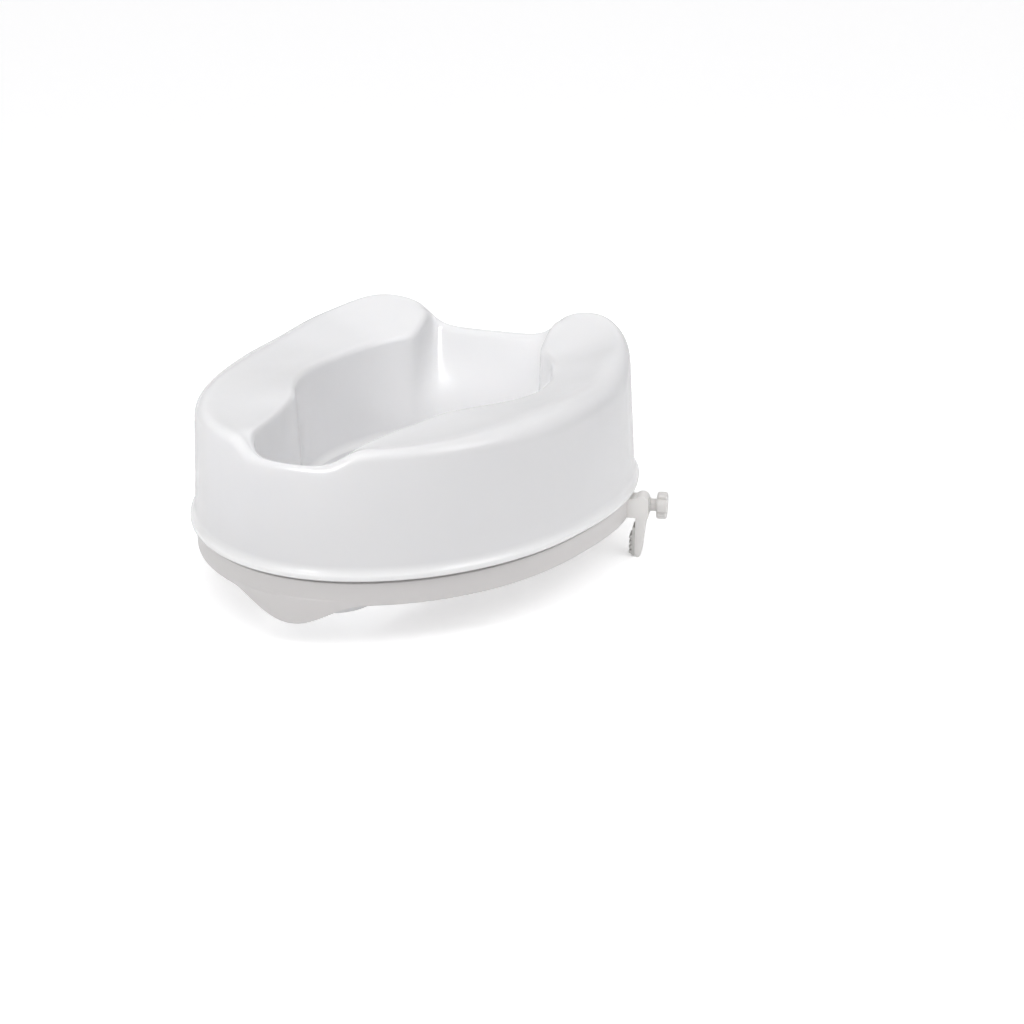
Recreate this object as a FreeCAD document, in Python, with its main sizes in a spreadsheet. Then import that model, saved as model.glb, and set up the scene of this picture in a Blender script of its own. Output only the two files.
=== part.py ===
import FreeCAD, Part
import math
import os
import Sketcher
from FreeCAD import Vector as V, Placement, Rotation

# Raised toilet seat that clamps on the rim of a bowl.
# Frame: X across the seat, -Y its front, +Z up. "Right" in the labels is +X,
# as seen by someone who faces the front of the seat.
# Origin: under the middle of the flange outline, level with the feet of the
# clamp legs. Pieces are drawn about the rim plane (underside of the band) and
# raised together by rimHeight at the end.

os.makedirs("parts", exist_ok=True)
doc = FreeCAD.newDocument("raised_seat")

# ---------------------------------------------------------------- sheet
# From screwHeight to coverScrewHalf, and for the grip pads, sizes are in the
# clamp frame: x along the screw, growing outwards (In and Left are towards the
# bowl, Out and Right away from it), z up from the screw axis. Half is half a
# width across the screw.
sheet = doc.addObject("Spreadsheet::Sheet", "Sizes")
CELLS = [
    ("rimHeight", 36.0),         # rim plane over the feet of the clamp legs
    # seat shell
    ("flangeWidth", 370.0),      # over the flange bead, side to side
    ("flangeLength", 409.0),     # over the flange bead, front to back
    ("flangeBottom", 21.3),      # underside of the flange bead
    ("flangeThick", 4.6),
    ("wallInset", 3.0),          # wall stands in from the bead
    ("wallDraft", 0.065),        # inset gained per mm of height
    ("shellThick", 3.2),
    ("skirtBottom", -15.0),      # lower end of the splash wall
    # base ring
    ("bandHeight", 18.5),
    ("bandInset", 3.6),
    ("neckInset", 7.5),
    ("ringWall", 2.9),
    ("floorThick", 3.0),
    ("lipTop", 28.0),            # top of the locating lip inside the shell
    ("holeGap", 0.9),
    ("apronDrop", 19.0),
    ("apronHalf", 57.0),
    # clamps
    ("clampX", 184.5),           # where the clamp axis leaves the flange
    ("clampY", 76.4),
    ("clampTurn", 12.0),         # clamp axis is square to the rim here
    ("screwHeight", 11.0),       # screw axis over the rim plane
    ("housingHalf", 8.5),
    ("housingLeft", -9.0),
    ("housingRight", 11.8),
    ("housingLow", -10.6),
    ("housingShoulder", 6.4),
    ("domeRadius", 6.0),
    ("domeCentreX", 5.8),
    ("domeCentreZ", 3.6),
    ("legTopRight", 10.4),
    ("legLowRight", 6.6),
    ("legLeft", 0.9),
    ("legLow", -47.0),
    ("railIn", 6.2),             # inner side of a rail, from the screw axis
    ("railLeft", -58.0),
    ("railLow", -7.0),
    ("railTop", 7.0),
    ("shaftRadius", 4.0),
    ("boreRadius", 4.08),
    ("threadRadius", 5.5),
    ("threadPitch", 4.0),
    ("nutBoreRadius", 5.58),
    ("screwIn", -64.0),
    ("screwOut", 25.0),
    ("threadOut", -22.0),
    ("grooveRadius", 3.2),
    ("grooveIn", -11.3),
    ("grooveOut", -10.1),
    ("washerIn", 11.9),
    ("washerThick", 1.1),
    ("washerRadius", 6.6),
    ("hubRadius", 5.5),
    ("hubIn", 13.1),
    ("knobIn", 18.5),
    ("knobOut", 27.6),
    ("knobRadius", 12.4),
    ("lobeCut", 3.6),            # radius of the flutes round the knob
    ("lobeOffset", 14.3),        # their centres from the screw axis
    ("pinRadius", 1.25),
    ("pinAt", 15.8),
    ("nutIn", -44.0),
    ("nutOut", -32.0),
    ("nutHalf", 5.8),
    ("nutLow", -8.0),
    ("nutTop", 7.5),
    ("coverIn", -69.0),
    ("coverOut", -14.5),
    ("coverHalf", 16.0),
    ("coverLow", 7.8),
    ("coverThick", 2.4),
    ("coverScrewIn", -63.0),
    ("coverScrewOut", -21.0),
    ("coverScrewHalf", 12.6),
    ("padThick", 2.4),
    ("toothDeep", 2.8),
    ("toothPitch", 4.6),
    ("gripTop", -19.5),
    ("gripLow", -46.0),
    ("gripHalf", 8.0),
    # rest pads under the base
    ("restLong", 46.0),
    ("restWide", 9.0),
    ("restDeep", 1.5),
    ("restProud", 1.0),
    # screws and bosses that join base and shell
    ("screwHead", 3.4),
    ("bossRadius", 5.5),
    ("bossFoot", 30.0),
    ("bossBore", 1.7),
    ("assemblyRadius", 1.6),
]
for row, (name, value) in enumerate(CELLS, 1):
    sheet.set("A%d" % row, name)
    sheet.set("B%d" % row, repr(value))
    sheet.setAlias("B%d" % row, name)
doc.recompute()

# ------------------------------------------------------- shared helpers
SIDES = ("right", "left")
UP = V(0, 0, 1)
NODES = []      # the objects that are exported

# Frames of the two clamps.
CLAMP_FRAMES = {
    "right": Placement(V(sheet.clampX, sheet.clampY, sheet.screwHeight),
                       Rotation(UP, sheet.clampTurn)),
    "left": Placement(V(-sheet.clampX, sheet.clampY, sheet.screwHeight),
                      Rotation(UP, 180.0 - sheet.clampTurn)),
}
COVER_SCREW_XS = (sheet.coverScrewIn, sheet.coverScrewOut)
COVER_SCREWS = [(x, sign * sheet.coverScrewHalf) for sign in (1, -1) for x in COVER_SCREW_XS]

# Screws that join base and shell: (x, y), mirrored in X.
JOIN_SCREWS = [(sign * x, y)
               for x, y in ((58.0, -170.0), (122.0, -98.0), (146.0, 0.0))
               for sign in (1, -1)]

# Rest pads: x, y of the middle, turn of the long side from X (deg).
REST_PADS = {
    "rest_pad_front_left": (-96.0, -138.0, -48.0),
    "rest_pad_front_right": (96.0, -138.0, 48.0),
    "rest_pad_rear_left": (-120.0, 150.0, 40.0),
    "rest_pad_rear_right": (120.0, 150.0, -40.0),
}


def rest_placement(name):
    x, y, turn = REST_PADS[name]
    return Placement(V(x, y, 0), Rotation(UP, turn))


def post(radius, z0, z1, x, y):
    """Upright cylinder."""
    return Part.makeCylinder(radius, z1 - z0, V(x, y, z0))


def box(x0, x1, y0, y1, z0, z1):
    return Part.makeBox(x1 - x0, y1 - y0, z1 - z0, V(x0, y0, z0))


def prism(points, z0, z1):
    """Upright solid on a smooth closed curve through the points."""
    curve = Part.BSplineCurve()
    curve.interpolate(Points=[V(p.x, p.y, z0) for p in points], PeriodicFlag=True)
    return Part.Face(Part.Wire([curve.toShape()])).extrude(UP * (z1 - z0))


def in_clamp(side, shape):
    """Move a shape drawn in the clamp frame to its place."""
    shape.Placement = CLAMP_FRAMES[side].multiply(shape.Placement)
    return shape


def lone_solid(shape):
    """The solid itself where a boolean has wrapped just one."""
    return shape.Solids[0] if len(shape.Solids) == 1 else shape


def add_shape(label, shape):
    node = doc.addObject("Part::Feature", label)
    node.Shape = shape
    node.Label = label
    NODES.append(node)


# ------------------------------------------------------ flange outline
# Polar form about a point behind the origin: the radius is a sum of cosine
# harmonics, so the glossy wall has no flat spots. It is scaled from its own
# size to the flange's.
OUTLINE_CENTRE_Y = 8.0
OUTLINE_COSINES = [198.415, -4.617, 11.239, 9.779, -5.126, 3.156,
                   -0.945, 0.326, 0.518, -0.686, 0.399]
SCALE_X = sheet.flangeWidth / 371.96
SCALE_Y = sheet.flangeLength / 409.0


def outline_point(angle):
    """Point of the flange outline: 0 at the front, pi at the back, x > 0 between."""
    radius = sum(c * math.cos(k * angle) for k, c in enumerate(OUTLINE_COSINES))
    return V(radius * math.sin(angle) * SCALE_X,
             (OUTLINE_CENTRE_Y - radius * math.cos(angle)) * SCALE_Y, 0)


def outline_normal(angle):
    """Outward normal of the flange outline."""
    tangent = outline_point(angle + 1e-3) - outline_point(angle - 1e-3)
    return V(tangent.y, -tangent.x, 0).normalize()


def outline(inset, count=120):
    angles = [2 * math.pi * i / count for i in range(count)]
    return [outline_point(a) - outline_normal(a) * inset for a in angles]


# --------------------------------------------------- seat shell stations
# One row per section from the middle of the front to the middle of the back:
# angle on the outline (deg), crest height, inner edge x, y, z, crest radius,
# edge radius, foot of the splash wall x, y.
STATIONS = [
    (0, 107.5, 0, -187.5, 106, 13, 4.5, 0, -183),
    (2.97, 107.5, 11, -187, 106, 13, 4.5, 11, -182.6),
    (5.694, 107.3, 21, -185, 106, 13, 4.5, 20.5, -181),
    (8.453, 107.6, 30, -180.5, 106.4, 12.5, 4.5, 28.5, -177.5),
    (10.978, 110.2, 37.5, -175, 109.4, 11, 4.5, 35, -172.5),
    (13.253, 116.6, 43, -169.5, 115.6, 9.5, 4.5, 39.5, -166.5),
    (15.892, 119.6, 46, -161.5, 118.5, 8.5, 4.5, 42.5, -159.5),
    (19.225, 119.8, 47.2, -151, 118.6, 8.5, 4.5, 44.3, -150),
    (22.997, 120.2, 48.5, -138.5, 118.6, 8.5, 4.5, 45.8, -138),
    (27.324, 120.6, 51, -124, 118.5, 9, 4.5, 48.2, -124),
    (32.097, 121, 54.5, -108.5, 118.4, 9.5, 4.5, 51.5, -108.5),
    (36.928, 121.6, 58.5, -95, 118.3, 10.5, 4.5, 55.5, -95),
    (41.954, 122.3, 61, -82.5, 118.9, 12, 4.5, 58, -82.5),
    (47.137, 123.1, 64.3, -70.5, 119.4, 13.5, 4.5, 61.3, -71),
    (51.843, 124, 69.2, -60, 119.6, 15, 4.5, 66.2, -61),
    (56.482, 125, 76.2, -48.5, 119.4, 16.5, 4.5, 73.2, -50),
    (61.752, 126, 84, -36, 118.8, 18, 4.5, 81, -38),
    (66.967, 127, 91.5, -21.5, 117.8, 19.5, 4.5, 88.3, -23.5),
    (72.57, 128, 98, -5.5, 116.6, 20.5, 4.7, 94.8, -7),
    (78.472, 129, 103, 11, 115.4, 21.5, 5, 99.6, 10),
    (84.605, 129.8, 106, 27.5, 114.3, 22, 5, 102.6, 27),
    (90.942, 130.6, 106.8, 43.5, 114.1, 22.5, 5, 103.4, 43),
    (97.114, 131.5, 106.2, 59, 114.2, 23, 5, 102.8, 58.5),
    (102.791, 132.6, 104, 73.5, 114.7, 24, 5, 100.6, 72.5),
    (108.006, 135, 100.7, 87, 115.4, 25, 5, 97.3, 86),
    (113.164, 138, 96.6, 99.5, 116.2, 25, 5, 93.2, 98.5),
    (117.884, 140.3, 92, 111, 117, 21, 5, 88.6, 109.5),
    (122.33, 141.4, 88.5, 120.5, 117.6, 17, 5, 85, 118.5),
    (126.651, 142.4, 84, 129, 118.2, 14, 5, 80.6, 126),
    (130.718, 144.2, 77.5, 136, 119, 12, 5, 74.5, 132),
    (134.907, 147, 70.5, 141.5, 120, 11, 5.5, 69.5, 136.5),
    (138.703, 150.5, 64.5, 148, 121.3, 10, 6, 65.5, 140),
    (142.423, 153.6, 62.3, 156, 123, 9.5, 6.5, 63.6, 143),
    (146.134, 155, 62.2, 164, 126.5, 9, 7, 62.6, 146),
    (149.751, 154.3, 62.4, 171, 131, 8.5, 7.5, 61.8, 149.5),
    (153.011, 151.5, 62.8, 177, 135.5, 8, 7.5, 60.2, 153),
    (155.84, 149, 63.2, 182, 136.5, 8, 7, 57.6, 156),
    (158.147, 146, 62, 185.6, 131.5, 7.5, 6, 54, 158),
    (160.196, 139, 58.6, 186.8, 126.5, 7.5, 5.5, 49.8, 159.4),
    (162.26, 131, 53.8, 186.3, 123.3, 6.5, 5, 45.4, 160.4),
    (164.628, 126.5, 47.5, 185.4, 121.5, 6, 4.5, 40.5, 161.4),
    (167.437, 124, 39.5, 184.8, 120.8, 6, 4.5, 34, 162.4),
    (170.576, 123.6, 30, 184.5, 120.4, 6, 4.5, 26.5, 163.3),
    (173.746, 123.5, 20, 184.4, 120.2, 6, 4.5, 18, 163.9),
    (176.794, 123.4, 10, 184.3, 120.1, 6, 4.5, 9, 164.2),
    (180, 123.3, 0, 184.3, 120, 6, 4.5, 0, 164.3),
]
X_COLUMNS = (2, 7)
# The splash wall bends at this height, this share of the way in plan from its
# foot to the inner edge.
BEND_Z = 60.0
BEND_SHARE = 0.10


def smooth(column, odd):
    """1-2-1 smoothing; odd columns change sign at the symmetry plane."""
    sign = -1.0 if odd else 1.0
    padded = [sign * column[1]] + column + [sign * column[-2]]
    result = [(padded[i] + 2 * padded[i + 1] + padded[i + 2]) / 4.0
              for i in range(len(column))]
    if odd:
        result[0] = result[-1] = 0.0
    return result


def smoothed_columns():
    angles, *others = [list(column) for column in zip(*STATIONS)]
    # the angle grows by 180 degrees over the half, so its difference from
    # even steps is smoothed
    even = [180.0 * i / (len(angles) - 1) for i in range(len(angles))]
    drift = smooth([a - e for a, e in zip(angles, even)], True)
    return [[d + e for d, e in zip(drift, even)]] + [
        smooth(column, k in X_COLUMNS) for k, column in enumerate(others, 1)]


def plan_normals(points):
    """Plan normals of a half outline, pointing into the seat's material."""
    normals = [V(0, -1, 0)]
    for before, after in zip(points, points[2:]):
        tangent = after - before
        normals.append(V(tangent.y, -tangent.x, 0).normalize())
    return normals + [V(0, 1, 0)]


(ANGLES, CREST_ZS, edge_xs, edge_ys, edge_zs,
 CREST_RADII, EDGE_RADII, foot_xs, foot_ys) = smoothed_columns()
EDGES = [V(*xyz) for xyz in zip(edge_xs, edge_ys, edge_zs)]
FEET = [V(x, y, sheet.skirtBottom) for x, y in zip(foot_xs, foot_ys)]
EDGE_NORMALS = plan_normals(EDGES)
FOOT_NORMALS = plan_normals(FEET)


def between(start, end, share):
    return start + (end - start) * share


def mirrored(point):
    return V(-point.x, point.y, point.z)


# ------------------------------------------------------------ seat shell
def shell_section(i):
    """Control points of station i: the outside from the flange over the top to
    the foot of the splash wall, then the inside back to the flange."""
    bottom = sheet.flangeBottom
    flange_top = bottom + sheet.flangeThick
    thick = sheet.shellThick
    angle = math.radians(ANGLES[i])
    point, normal = outline_point(angle), outline_normal(angle)
    crest_z, crest_radius = CREST_ZS[i], CREST_RADII[i]
    edge, foot = EDGES[i], FEET[i]

    def flange(inset, z):
        return point - normal * inset + UP * z

    def wall(z, inward=0.0):
        return flange(sheet.wallInset + sheet.wallDraft * (z - bottom) + inward, z)

    corner = wall(crest_z)          # where wall and top would meet if sharp
    span = (edge - corner).Length
    across = (edge - corner).normalize()
    crest_run = min(crest_radius, 0.52 * span)
    edge_run = min(EDGE_RADII[i], 0.36 * span)
    dish = min(1.2, 0.02 * span)
    bend = between(foot, edge, BEND_SHARE)
    bend.z = BEND_Z
    down_wall = (wall(crest_z - 10.0) - corner).normalize()
    down_splash = (bend - edge).normalize()

    def rounded(sharp, first_leg, last_leg, degrees):
        turn = math.radians(degrees)
        return sharp + first_leg * (1.0 - math.sin(turn)) + last_leg * (1.0 - math.cos(turn))

    def crest(degrees):
        return rounded(corner, down_wall * crest_radius, across * crest_run, degrees)

    def rim(degrees):
        return rounded(edge, across * -edge_run, down_splash * EDGE_RADII[i], degrees)

    def top(share, drop):
        run = crest_run + share * (span - crest_run - edge_run)
        return corner + across * run - UP * drop

    quarter = (0.0, 22.5, 45.0, 67.5, 90.0)
    outside = [
        flange(5.2, bottom), flange(2.6, bottom - 0.1), flange(-0.5, bottom - 0.1),
        flange(-0.7, bottom + sheet.flangeThick * 0.5), flange(-0.5, flange_top),
        flange(2.2, flange_top + 0.1),
        wall(flange_top + 0.5), wall(flange_top + 4.0), wall(flange_top + 20.0),
        wall(0.5 * (flange_top + crest_z - crest_radius)), wall(crest_z - crest_radius - 9.0),
        *[crest(degrees) for degrees in quarter],
        top(0.30, dish), top(0.70, dish),
        *[rim(degrees) for degrees in quarter],
        between(edge, bend, 0.55), bend,
        between(bend, foot, 0.12), between(bend, foot, 0.5), between(bend, foot, 0.93), foot,
    ]
    off_edge, off_foot = EDGE_NORMALS[i] * thick, FOOT_NORMALS[i] * thick
    inside = [
        foot + off_foot,
        *[between(bend, foot, share) + off_foot for share in (0.93, 0.5, 0.12)],
        bend + off_foot - UP * 0.5,
        between(edge, bend, 0.55) + (off_edge + off_foot) * 0.5 - UP * 0.8,
        rim(90.0) + off_edge - UP * (0.5 * thick),
        rim(45.0) + off_edge * 0.75 - UP * (0.8 * thick),
        rim(0.0) - UP * thick,
        top(0.5, thick + dish),
        crest(90.0) - UP * thick,
        crest(67.5) - normal * (0.38 * thick) - UP * (0.92 * thick),
        crest(45.0) - normal * (0.71 * thick) - UP * (0.71 * thick),
        crest(22.5) - normal * (0.92 * thick) - UP * (0.38 * thick),
        wall(crest_z - crest_radius - 0.5, thick),
        wall(0.5 * (flange_top + crest_z), thick),
        wall(flange_top + 6.0, thick),
        wall(bottom + 2.2, thick),
        wall(bottom + 0.1, thick),
    ]
    return outside + inside


def shell_surface():
    """Cubic surface, closed both round the seat and round its section."""
    half = [shell_section(i) for i in range(len(STATIONS))]
    poles = half + [[mirrored(p) for p in section] for section in half[-2:0:-1]]
    count_u, count_v = len(poles), len(poles[0])
    surface = Part.BSplineSurface()
    surface.buildFromPolesMultsKnots(
        poles, [1] * (count_u + 1), [1] * (count_v + 1),
        [float(k) for k in range(count_u + 1)], [float(k) for k in range(count_v + 1)],
        True, True, 3, 3)
    return surface


def skin_height(seat, x, y):
    """Height of the middle of the shell's skin over (x, y)."""
    cut = Part.makeLine(V(x, y, 60.0), V(x, y, 200.0)).common(seat)
    heights = sorted(vertex.Point.z for vertex in cut.Vertexes)
    return 0.5 * (heights[-1] + heights[-2])


def make_seat_shell():
    seat = Part.Solid(Part.Shell([shell_surface().toShape()]))
    # the surface may face inwards, and its seams may need mending
    if seat.Volume < 0:
        seat.reverse()
    if not seat.isValid():
        seat.fix(1e-4, 1e-4, 1e-3)
    # screw bosses hang from the underside of the top, over those of the base
    foot, bore_deep = sheet.bossFoot, 22.0
    bosses = []
    for x, y in JOIN_SCREWS:
        boss = post(sheet.bossRadius, foot, skin_height(seat, x, y), x, y)
        bosses.append(boss.cut(post(sheet.bossBore, foot - 1.0, foot + bore_deep, x, y)))
    add_shape("seat_shell", lone_solid(seat.fuse(bosses)))


# ------------------------------------------------------------- base ring
def splash_ring(gap):
    """Closed outline that clears the splash wall, taken at the lip's height."""
    share = BEND_SHARE * (sheet.lipTop - sheet.skirtBottom) / (BEND_Z - sheet.skirtBottom)
    half = [between(foot, edge, share) + normal * (sheet.shellThick + gap)
            for foot, edge, normal in zip(FEET, EDGES, FOOT_NORMALS)]
    return half + [mirrored(p) for p in half[-2:0:-1]]


def ring_body():
    """Band and neck, hollowed to a tray, with a collar round the hole."""
    lip_top = sheet.lipTop
    collar_wall, collar_below_lip = 2.6, 4.0
    base = prism(outline(sheet.bandInset), 0.0, sheet.bandHeight)
    base = base.fuse(prism(outline(sheet.neckInset), 0.0, lip_top))
    base = base.cut(prism(outline(sheet.neckInset + sheet.ringWall),
                          sheet.floorThick, lip_top + 1.0))
    base = base.fuse(prism(splash_ring(sheet.holeGap + collar_wall),
                           0.0, lip_top - collar_below_lip))
    return base.cut(prism(splash_ring(sheet.holeGap), -1.0, lip_top + 1.0))


def front_apron():
    """Strip of the band's wall that hangs below the rim plane, with S-shaped ends."""
    half, drop = sheet.apronHalf, sheet.apronDrop
    wall, profile_top, steps = 3.2, 2.5, 40
    profile = []
    for k in range(steps + 1):
        x = -half + 2 * half * k / steps
        bell = 0.5 + 0.5 * math.cos(math.pi * abs(x) / half)
        profile.append(V(x, 0, -drop * bell ** 0.9))
    curve = Part.BSplineCurve()
    curve.interpolate(Points=profile)
    start, end = profile[0], profile[-1]
    corners = [end, V(end.x, 0, profile_top), V(start.x, 0, profile_top), start]
    lines = [Part.makeLine(a, b) for a, b in zip(corners, corners[1:])]
    face = Part.Face(Part.Wire([curve.toShape()] + lines))
    face.translate(V(0, -230, 0))
    strip = prism(outline(sheet.bandInset), -drop - 2.0, 3.0)
    strip = strip.cut(prism(outline(sheet.bandInset + wall), -drop - 3.0, 4.0))
    return strip.common(face.extrude(V(0, 120, 0)))


def add_base_bosses(base):
    """Bosses for the screws that hold base and shell together."""
    boss_radius, bore_radius = 6.5, 1.8
    for x, y in JOIN_SCREWS:
        base = base.fuse(post(boss_radius, 0.0, sheet.bossFoot - 0.3, x, y))
    for x, y in JOIN_SCREWS:
        base = base.cut(post(bore_radius, -1.0, sheet.bossFoot + 1.0, x, y))
        base = base.cut(post(sheet.screwHead + 0.3, -1.0, 3.0, x, y))
    return base


def channel_parts():
    """Guide walls, cover posts and nut tabs of one clamp, in its frame."""
    low, top = -sheet.screwHeight + 0.5, 7.5
    wall_inner = sheet.housingHalf + 0.3
    wall_outer = wall_inner + 2.2
    post_radius = 3.4
    tab_top, tab_gap, tab_reach = 5.0, 0.15, 2.8   # gap and reach are from the nut
    slot_half = 5.7
    parts = []
    for sign in (1, -1):
        y0, y1 = sorted((sign * wall_inner, sign * wall_outer))
        parts.append(box(sheet.railLeft - 12.0, -8.0, y0, y1, low, top))
        for x in COVER_SCREW_XS:
            parts.append(post(post_radius, low, top, x, sign * sheet.coverScrewHalf))
    for x0, x1 in ((sheet.nutIn - tab_reach, sheet.nutIn - tab_gap),
                   (sheet.nutOut + tab_gap, sheet.nutOut + tab_reach)):
        tab = box(x0, x1, -sheet.nutHalf, sheet.nutHalf, low, tab_top)
        # U-shaped slot for the screw, open at the top
        tab = tab.cut(Part.makeCylinder(slot_half, 10.0, V(x0 - 2, 0, 0), V(1, 0, 0)))
        parts.append(tab.cut(box(x0 - 1, x1 + 1, -slot_half, slot_half, 0.0, 9.0)))
    return parts


def add_clamp_channels(base):
    """Channels of the clamps and the notches their brackets pass through."""
    notch_half = sheet.housingHalf + 0.5
    pilot_radius = 1.15
    inside = prism(outline(sheet.neckInset + 0.5), 0.0, sheet.bandHeight + 0.2)
    for side in SIDES:
        for part in channel_parts():
            base = base.fuse(in_clamp(side, part).common(inside))
        notch = box(-17.0, 8.0, -notch_half, notch_half, -sheet.screwHeight - 1.0, 10.5)
        base = base.cut(in_clamp(side, notch))
        for x, y in COVER_SCREWS:
            base = base.cut(in_clamp(side, post(pilot_radius, -5.0, 9.0, x, y)))
    return base


def cut_rest_pockets(base):
    """Shallow pockets under the floor for the four rest pads."""
    half_long = (sheet.restLong + 0.4) / 2
    half_wide = (sheet.restWide + 0.4) / 2
    for name in REST_PADS:
        hollow = box(-half_long, half_long, -half_wide, half_wide, -1.0, sheet.restDeep)
        hollow.Placement = rest_placement(name)
        base = base.cut(hollow)
    return base


def make_base_ring():
    base = ring_body().fuse(front_apron())
    base = add_base_bosses(base)
    base = add_clamp_channels(base)
    base = cut_rest_pockets(base)
    add_shape("base_ring", lone_solid(base))


# --------------------------------------------------- part design helpers
# A size is a number, or a sum or difference of aliases and numbers in a
# string, such as "hubIn - 0.5"; a string also binds the object to the sheet.
def terms(size):
    return size.replace("+", " + ").replace("-", " - ").split()


def is_alias(term):
    return term[0].isalpha()


def evaluate(size):
    if not isinstance(size, str):
        return float(size)
    total, sign = 0.0, 1.0
    for term in terms(size):
        if term in "+-":
            sign = 1.0 if term == "+" else -1.0
        else:
            total += sign * float(getattr(sheet, term) if is_alias(term) else term)
    return total


def bind(item, path, size):
    """Tie a property or constraint to the sheet when the size is a string."""
    if isinstance(size, str):
        item.setExpression(path, " ".join("Sizes." + term if is_alias(term) else term
                                          for term in terms(size)))


def new_body(label, placement):
    body = doc.addObject("PartDesign::Body", label)
    body.Label = label
    body.Placement = placement
    NODES.append(body)
    return body


def new_sketch(body, name, plane, offset=0.0):
    sketch = body.newObject("Sketcher::SketchObject", name)
    support = [f for f in body.Origin.OriginFeatures if f.Role == plane][0]
    sketch.AttachmentSupport = [(support, "")]
    sketch.MapMode = "FlatFace"
    sketch.AttachmentOffset = Placement(V(0, 0, evaluate(offset)), Rotation())
    return sketch


def hold_point(sketch, geometry, point, x, y):
    """Hold a point of a sketch element by its distances from the origin."""
    for kind, size in (("DistanceX", x), ("DistanceY", y)):
        k = sketch.addConstraint(
            Sketcher.Constraint(kind, -1, 1, geometry, point, evaluate(size)))
        bind(sketch, "Constraints[%d]" % k, size)


def polygon(sketch, corners):
    points = [V(evaluate(x), evaluate(y), 0) for x, y in corners]
    count, first = len(points), len(sketch.Geometry)
    for i in range(count):
        sketch.addGeometry(Part.LineSegment(points[i], points[(i + 1) % count]), False)
    for i in range(count):
        sketch.addConstraint(
            Sketcher.Constraint("Coincident", first + i, 2, first + (i + 1) % count, 1))
    for i, (x, y) in enumerate(corners):
        hold_point(sketch, first + i, 1, x, y)


def circle(sketch, x, y, radius):
    centre = V(evaluate(x), evaluate(y), 0)
    geometry = sketch.addGeometry(Part.Circle(centre, UP, evaluate(radius)), False)
    k = sketch.addConstraint(Sketcher.Constraint("Radius", geometry, evaluate(radius)))
    bind(sketch, "Constraints[%d]" % k, radius)
    hold_point(sketch, geometry, 3, x, y)


def pad(body, sketch, length, midplane=False):
    feature = body.newObject("PartDesign::Pad", sketch.Name + "_pad")
    feature.Profile = sketch
    feature.Length = evaluate(length)
    bind(feature, "Length", length)
    feature.Midplane = midplane
    return feature


def require_removal(body, before, name):
    doc.recompute()
    if not body.Shape.Volume < before - 1e-3:
        raise RuntimeError("no material removed: " + name)


def pocket(body, sketch, length, reverse=False, midplane=False):
    doc.recompute()
    before = body.Shape.Volume
    feature = body.newObject("PartDesign::Pocket", sketch.Name + "_pocket")
    feature.Profile = sketch
    feature.Length = evaluate(length)
    bind(feature, "Length", length)
    feature.Reversed = reverse
    feature.Midplane = midplane
    require_removal(body, before, sketch.Name)
    return feature


def cut_pin_hole(body, prefix):
    """Upright cross hole through screw and knob."""
    sketch = new_sketch(body, prefix + "_pin", "XY_Plane")
    circle(sketch, "pinAt", 0.0, "pinRadius + 0.02")
    pocket(body, sketch, 30.0, midplane=True)


# ---------------------------------------------------------------- clamps
def make_bracket(side):
    """Housing, leg down the side of the bowl, and two rails."""
    body = new_body("clamp_bracket_" + side, CLAMP_FRAMES[side])
    prefix = "br_" + side
    # housing: side profile, the same along its width, with a round outer top
    sketch = new_sketch(body, prefix + "_housing", "XZ_Plane")
    polygon(sketch, [
        ("housingLeft", "housingLow"), ("housingRight", "housingLow"),
        ("housingRight", "domeCentreZ"), ("housingRight - 10.2", "housingShoulder + 1.0"),
        ("housingLeft", "housingShoulder")])
    pad(body, sketch, "housingHalf + housingHalf", midplane=True)
    sketch = new_sketch(body, prefix + "_dome", "XZ_Plane")
    circle(sketch, "domeCentreX", "domeCentreZ", "domeRadius")
    pad(body, sketch, "housingHalf + housingHalf", midplane=True)
    # leg, its outer face tapered
    sketch = new_sketch(body, prefix + "_leg", "XZ_Plane")
    polygon(sketch, [
        ("legLeft", "housingLow + 1.0"), ("legLeft", "legLow + 2.6"),
        ("legLeft + 1.6", "legLow"), ("legLowRight - 1.8", "legLow"),
        ("legLowRight", "legLow + 2.6"), ("legTopRight", "housingLow + 1.0")])
    pad(body, sketch, "housingHalf + housingHalf - 0.6", midplane=True)
    # two rails that run in the channel
    sketch = new_sketch(body, prefix + "_rails", "XY_Plane", "railLow")
    for y0, y1 in (("railIn", "housingHalf"), ("-housingHalf", "-railIn")):
        polygon(sketch, [
            ("railLeft", y0), ("housingLeft + 1.0", y0),
            ("housingLeft + 1.0", y1), ("railLeft", y1)])
    pad(body, sketch, "railTop - railLow")
    # bore for the screw's shaft
    sketch = new_sketch(body, prefix + "_bore", "YZ_Plane")
    circle(sketch, 0.0, 0.0, "boreRadius")
    pocket(body, sketch, 60.0, midplane=True)
    # closed hollow in the middle of the leg
    sketch = new_sketch(body, prefix + "_relief", "XZ_Plane")
    polygon(sketch, [
        ("legTopRight - 6.5", "legLow + 9.0"), ("legTopRight - 3.6", "housingLow - 4.0"),
        ("legLeft + 2.4", "housingLow - 4.0"), ("legLeft + 2.4", "legLow + 9.0")])
    pocket(body, sketch, 9.0, midplane=True)


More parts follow.
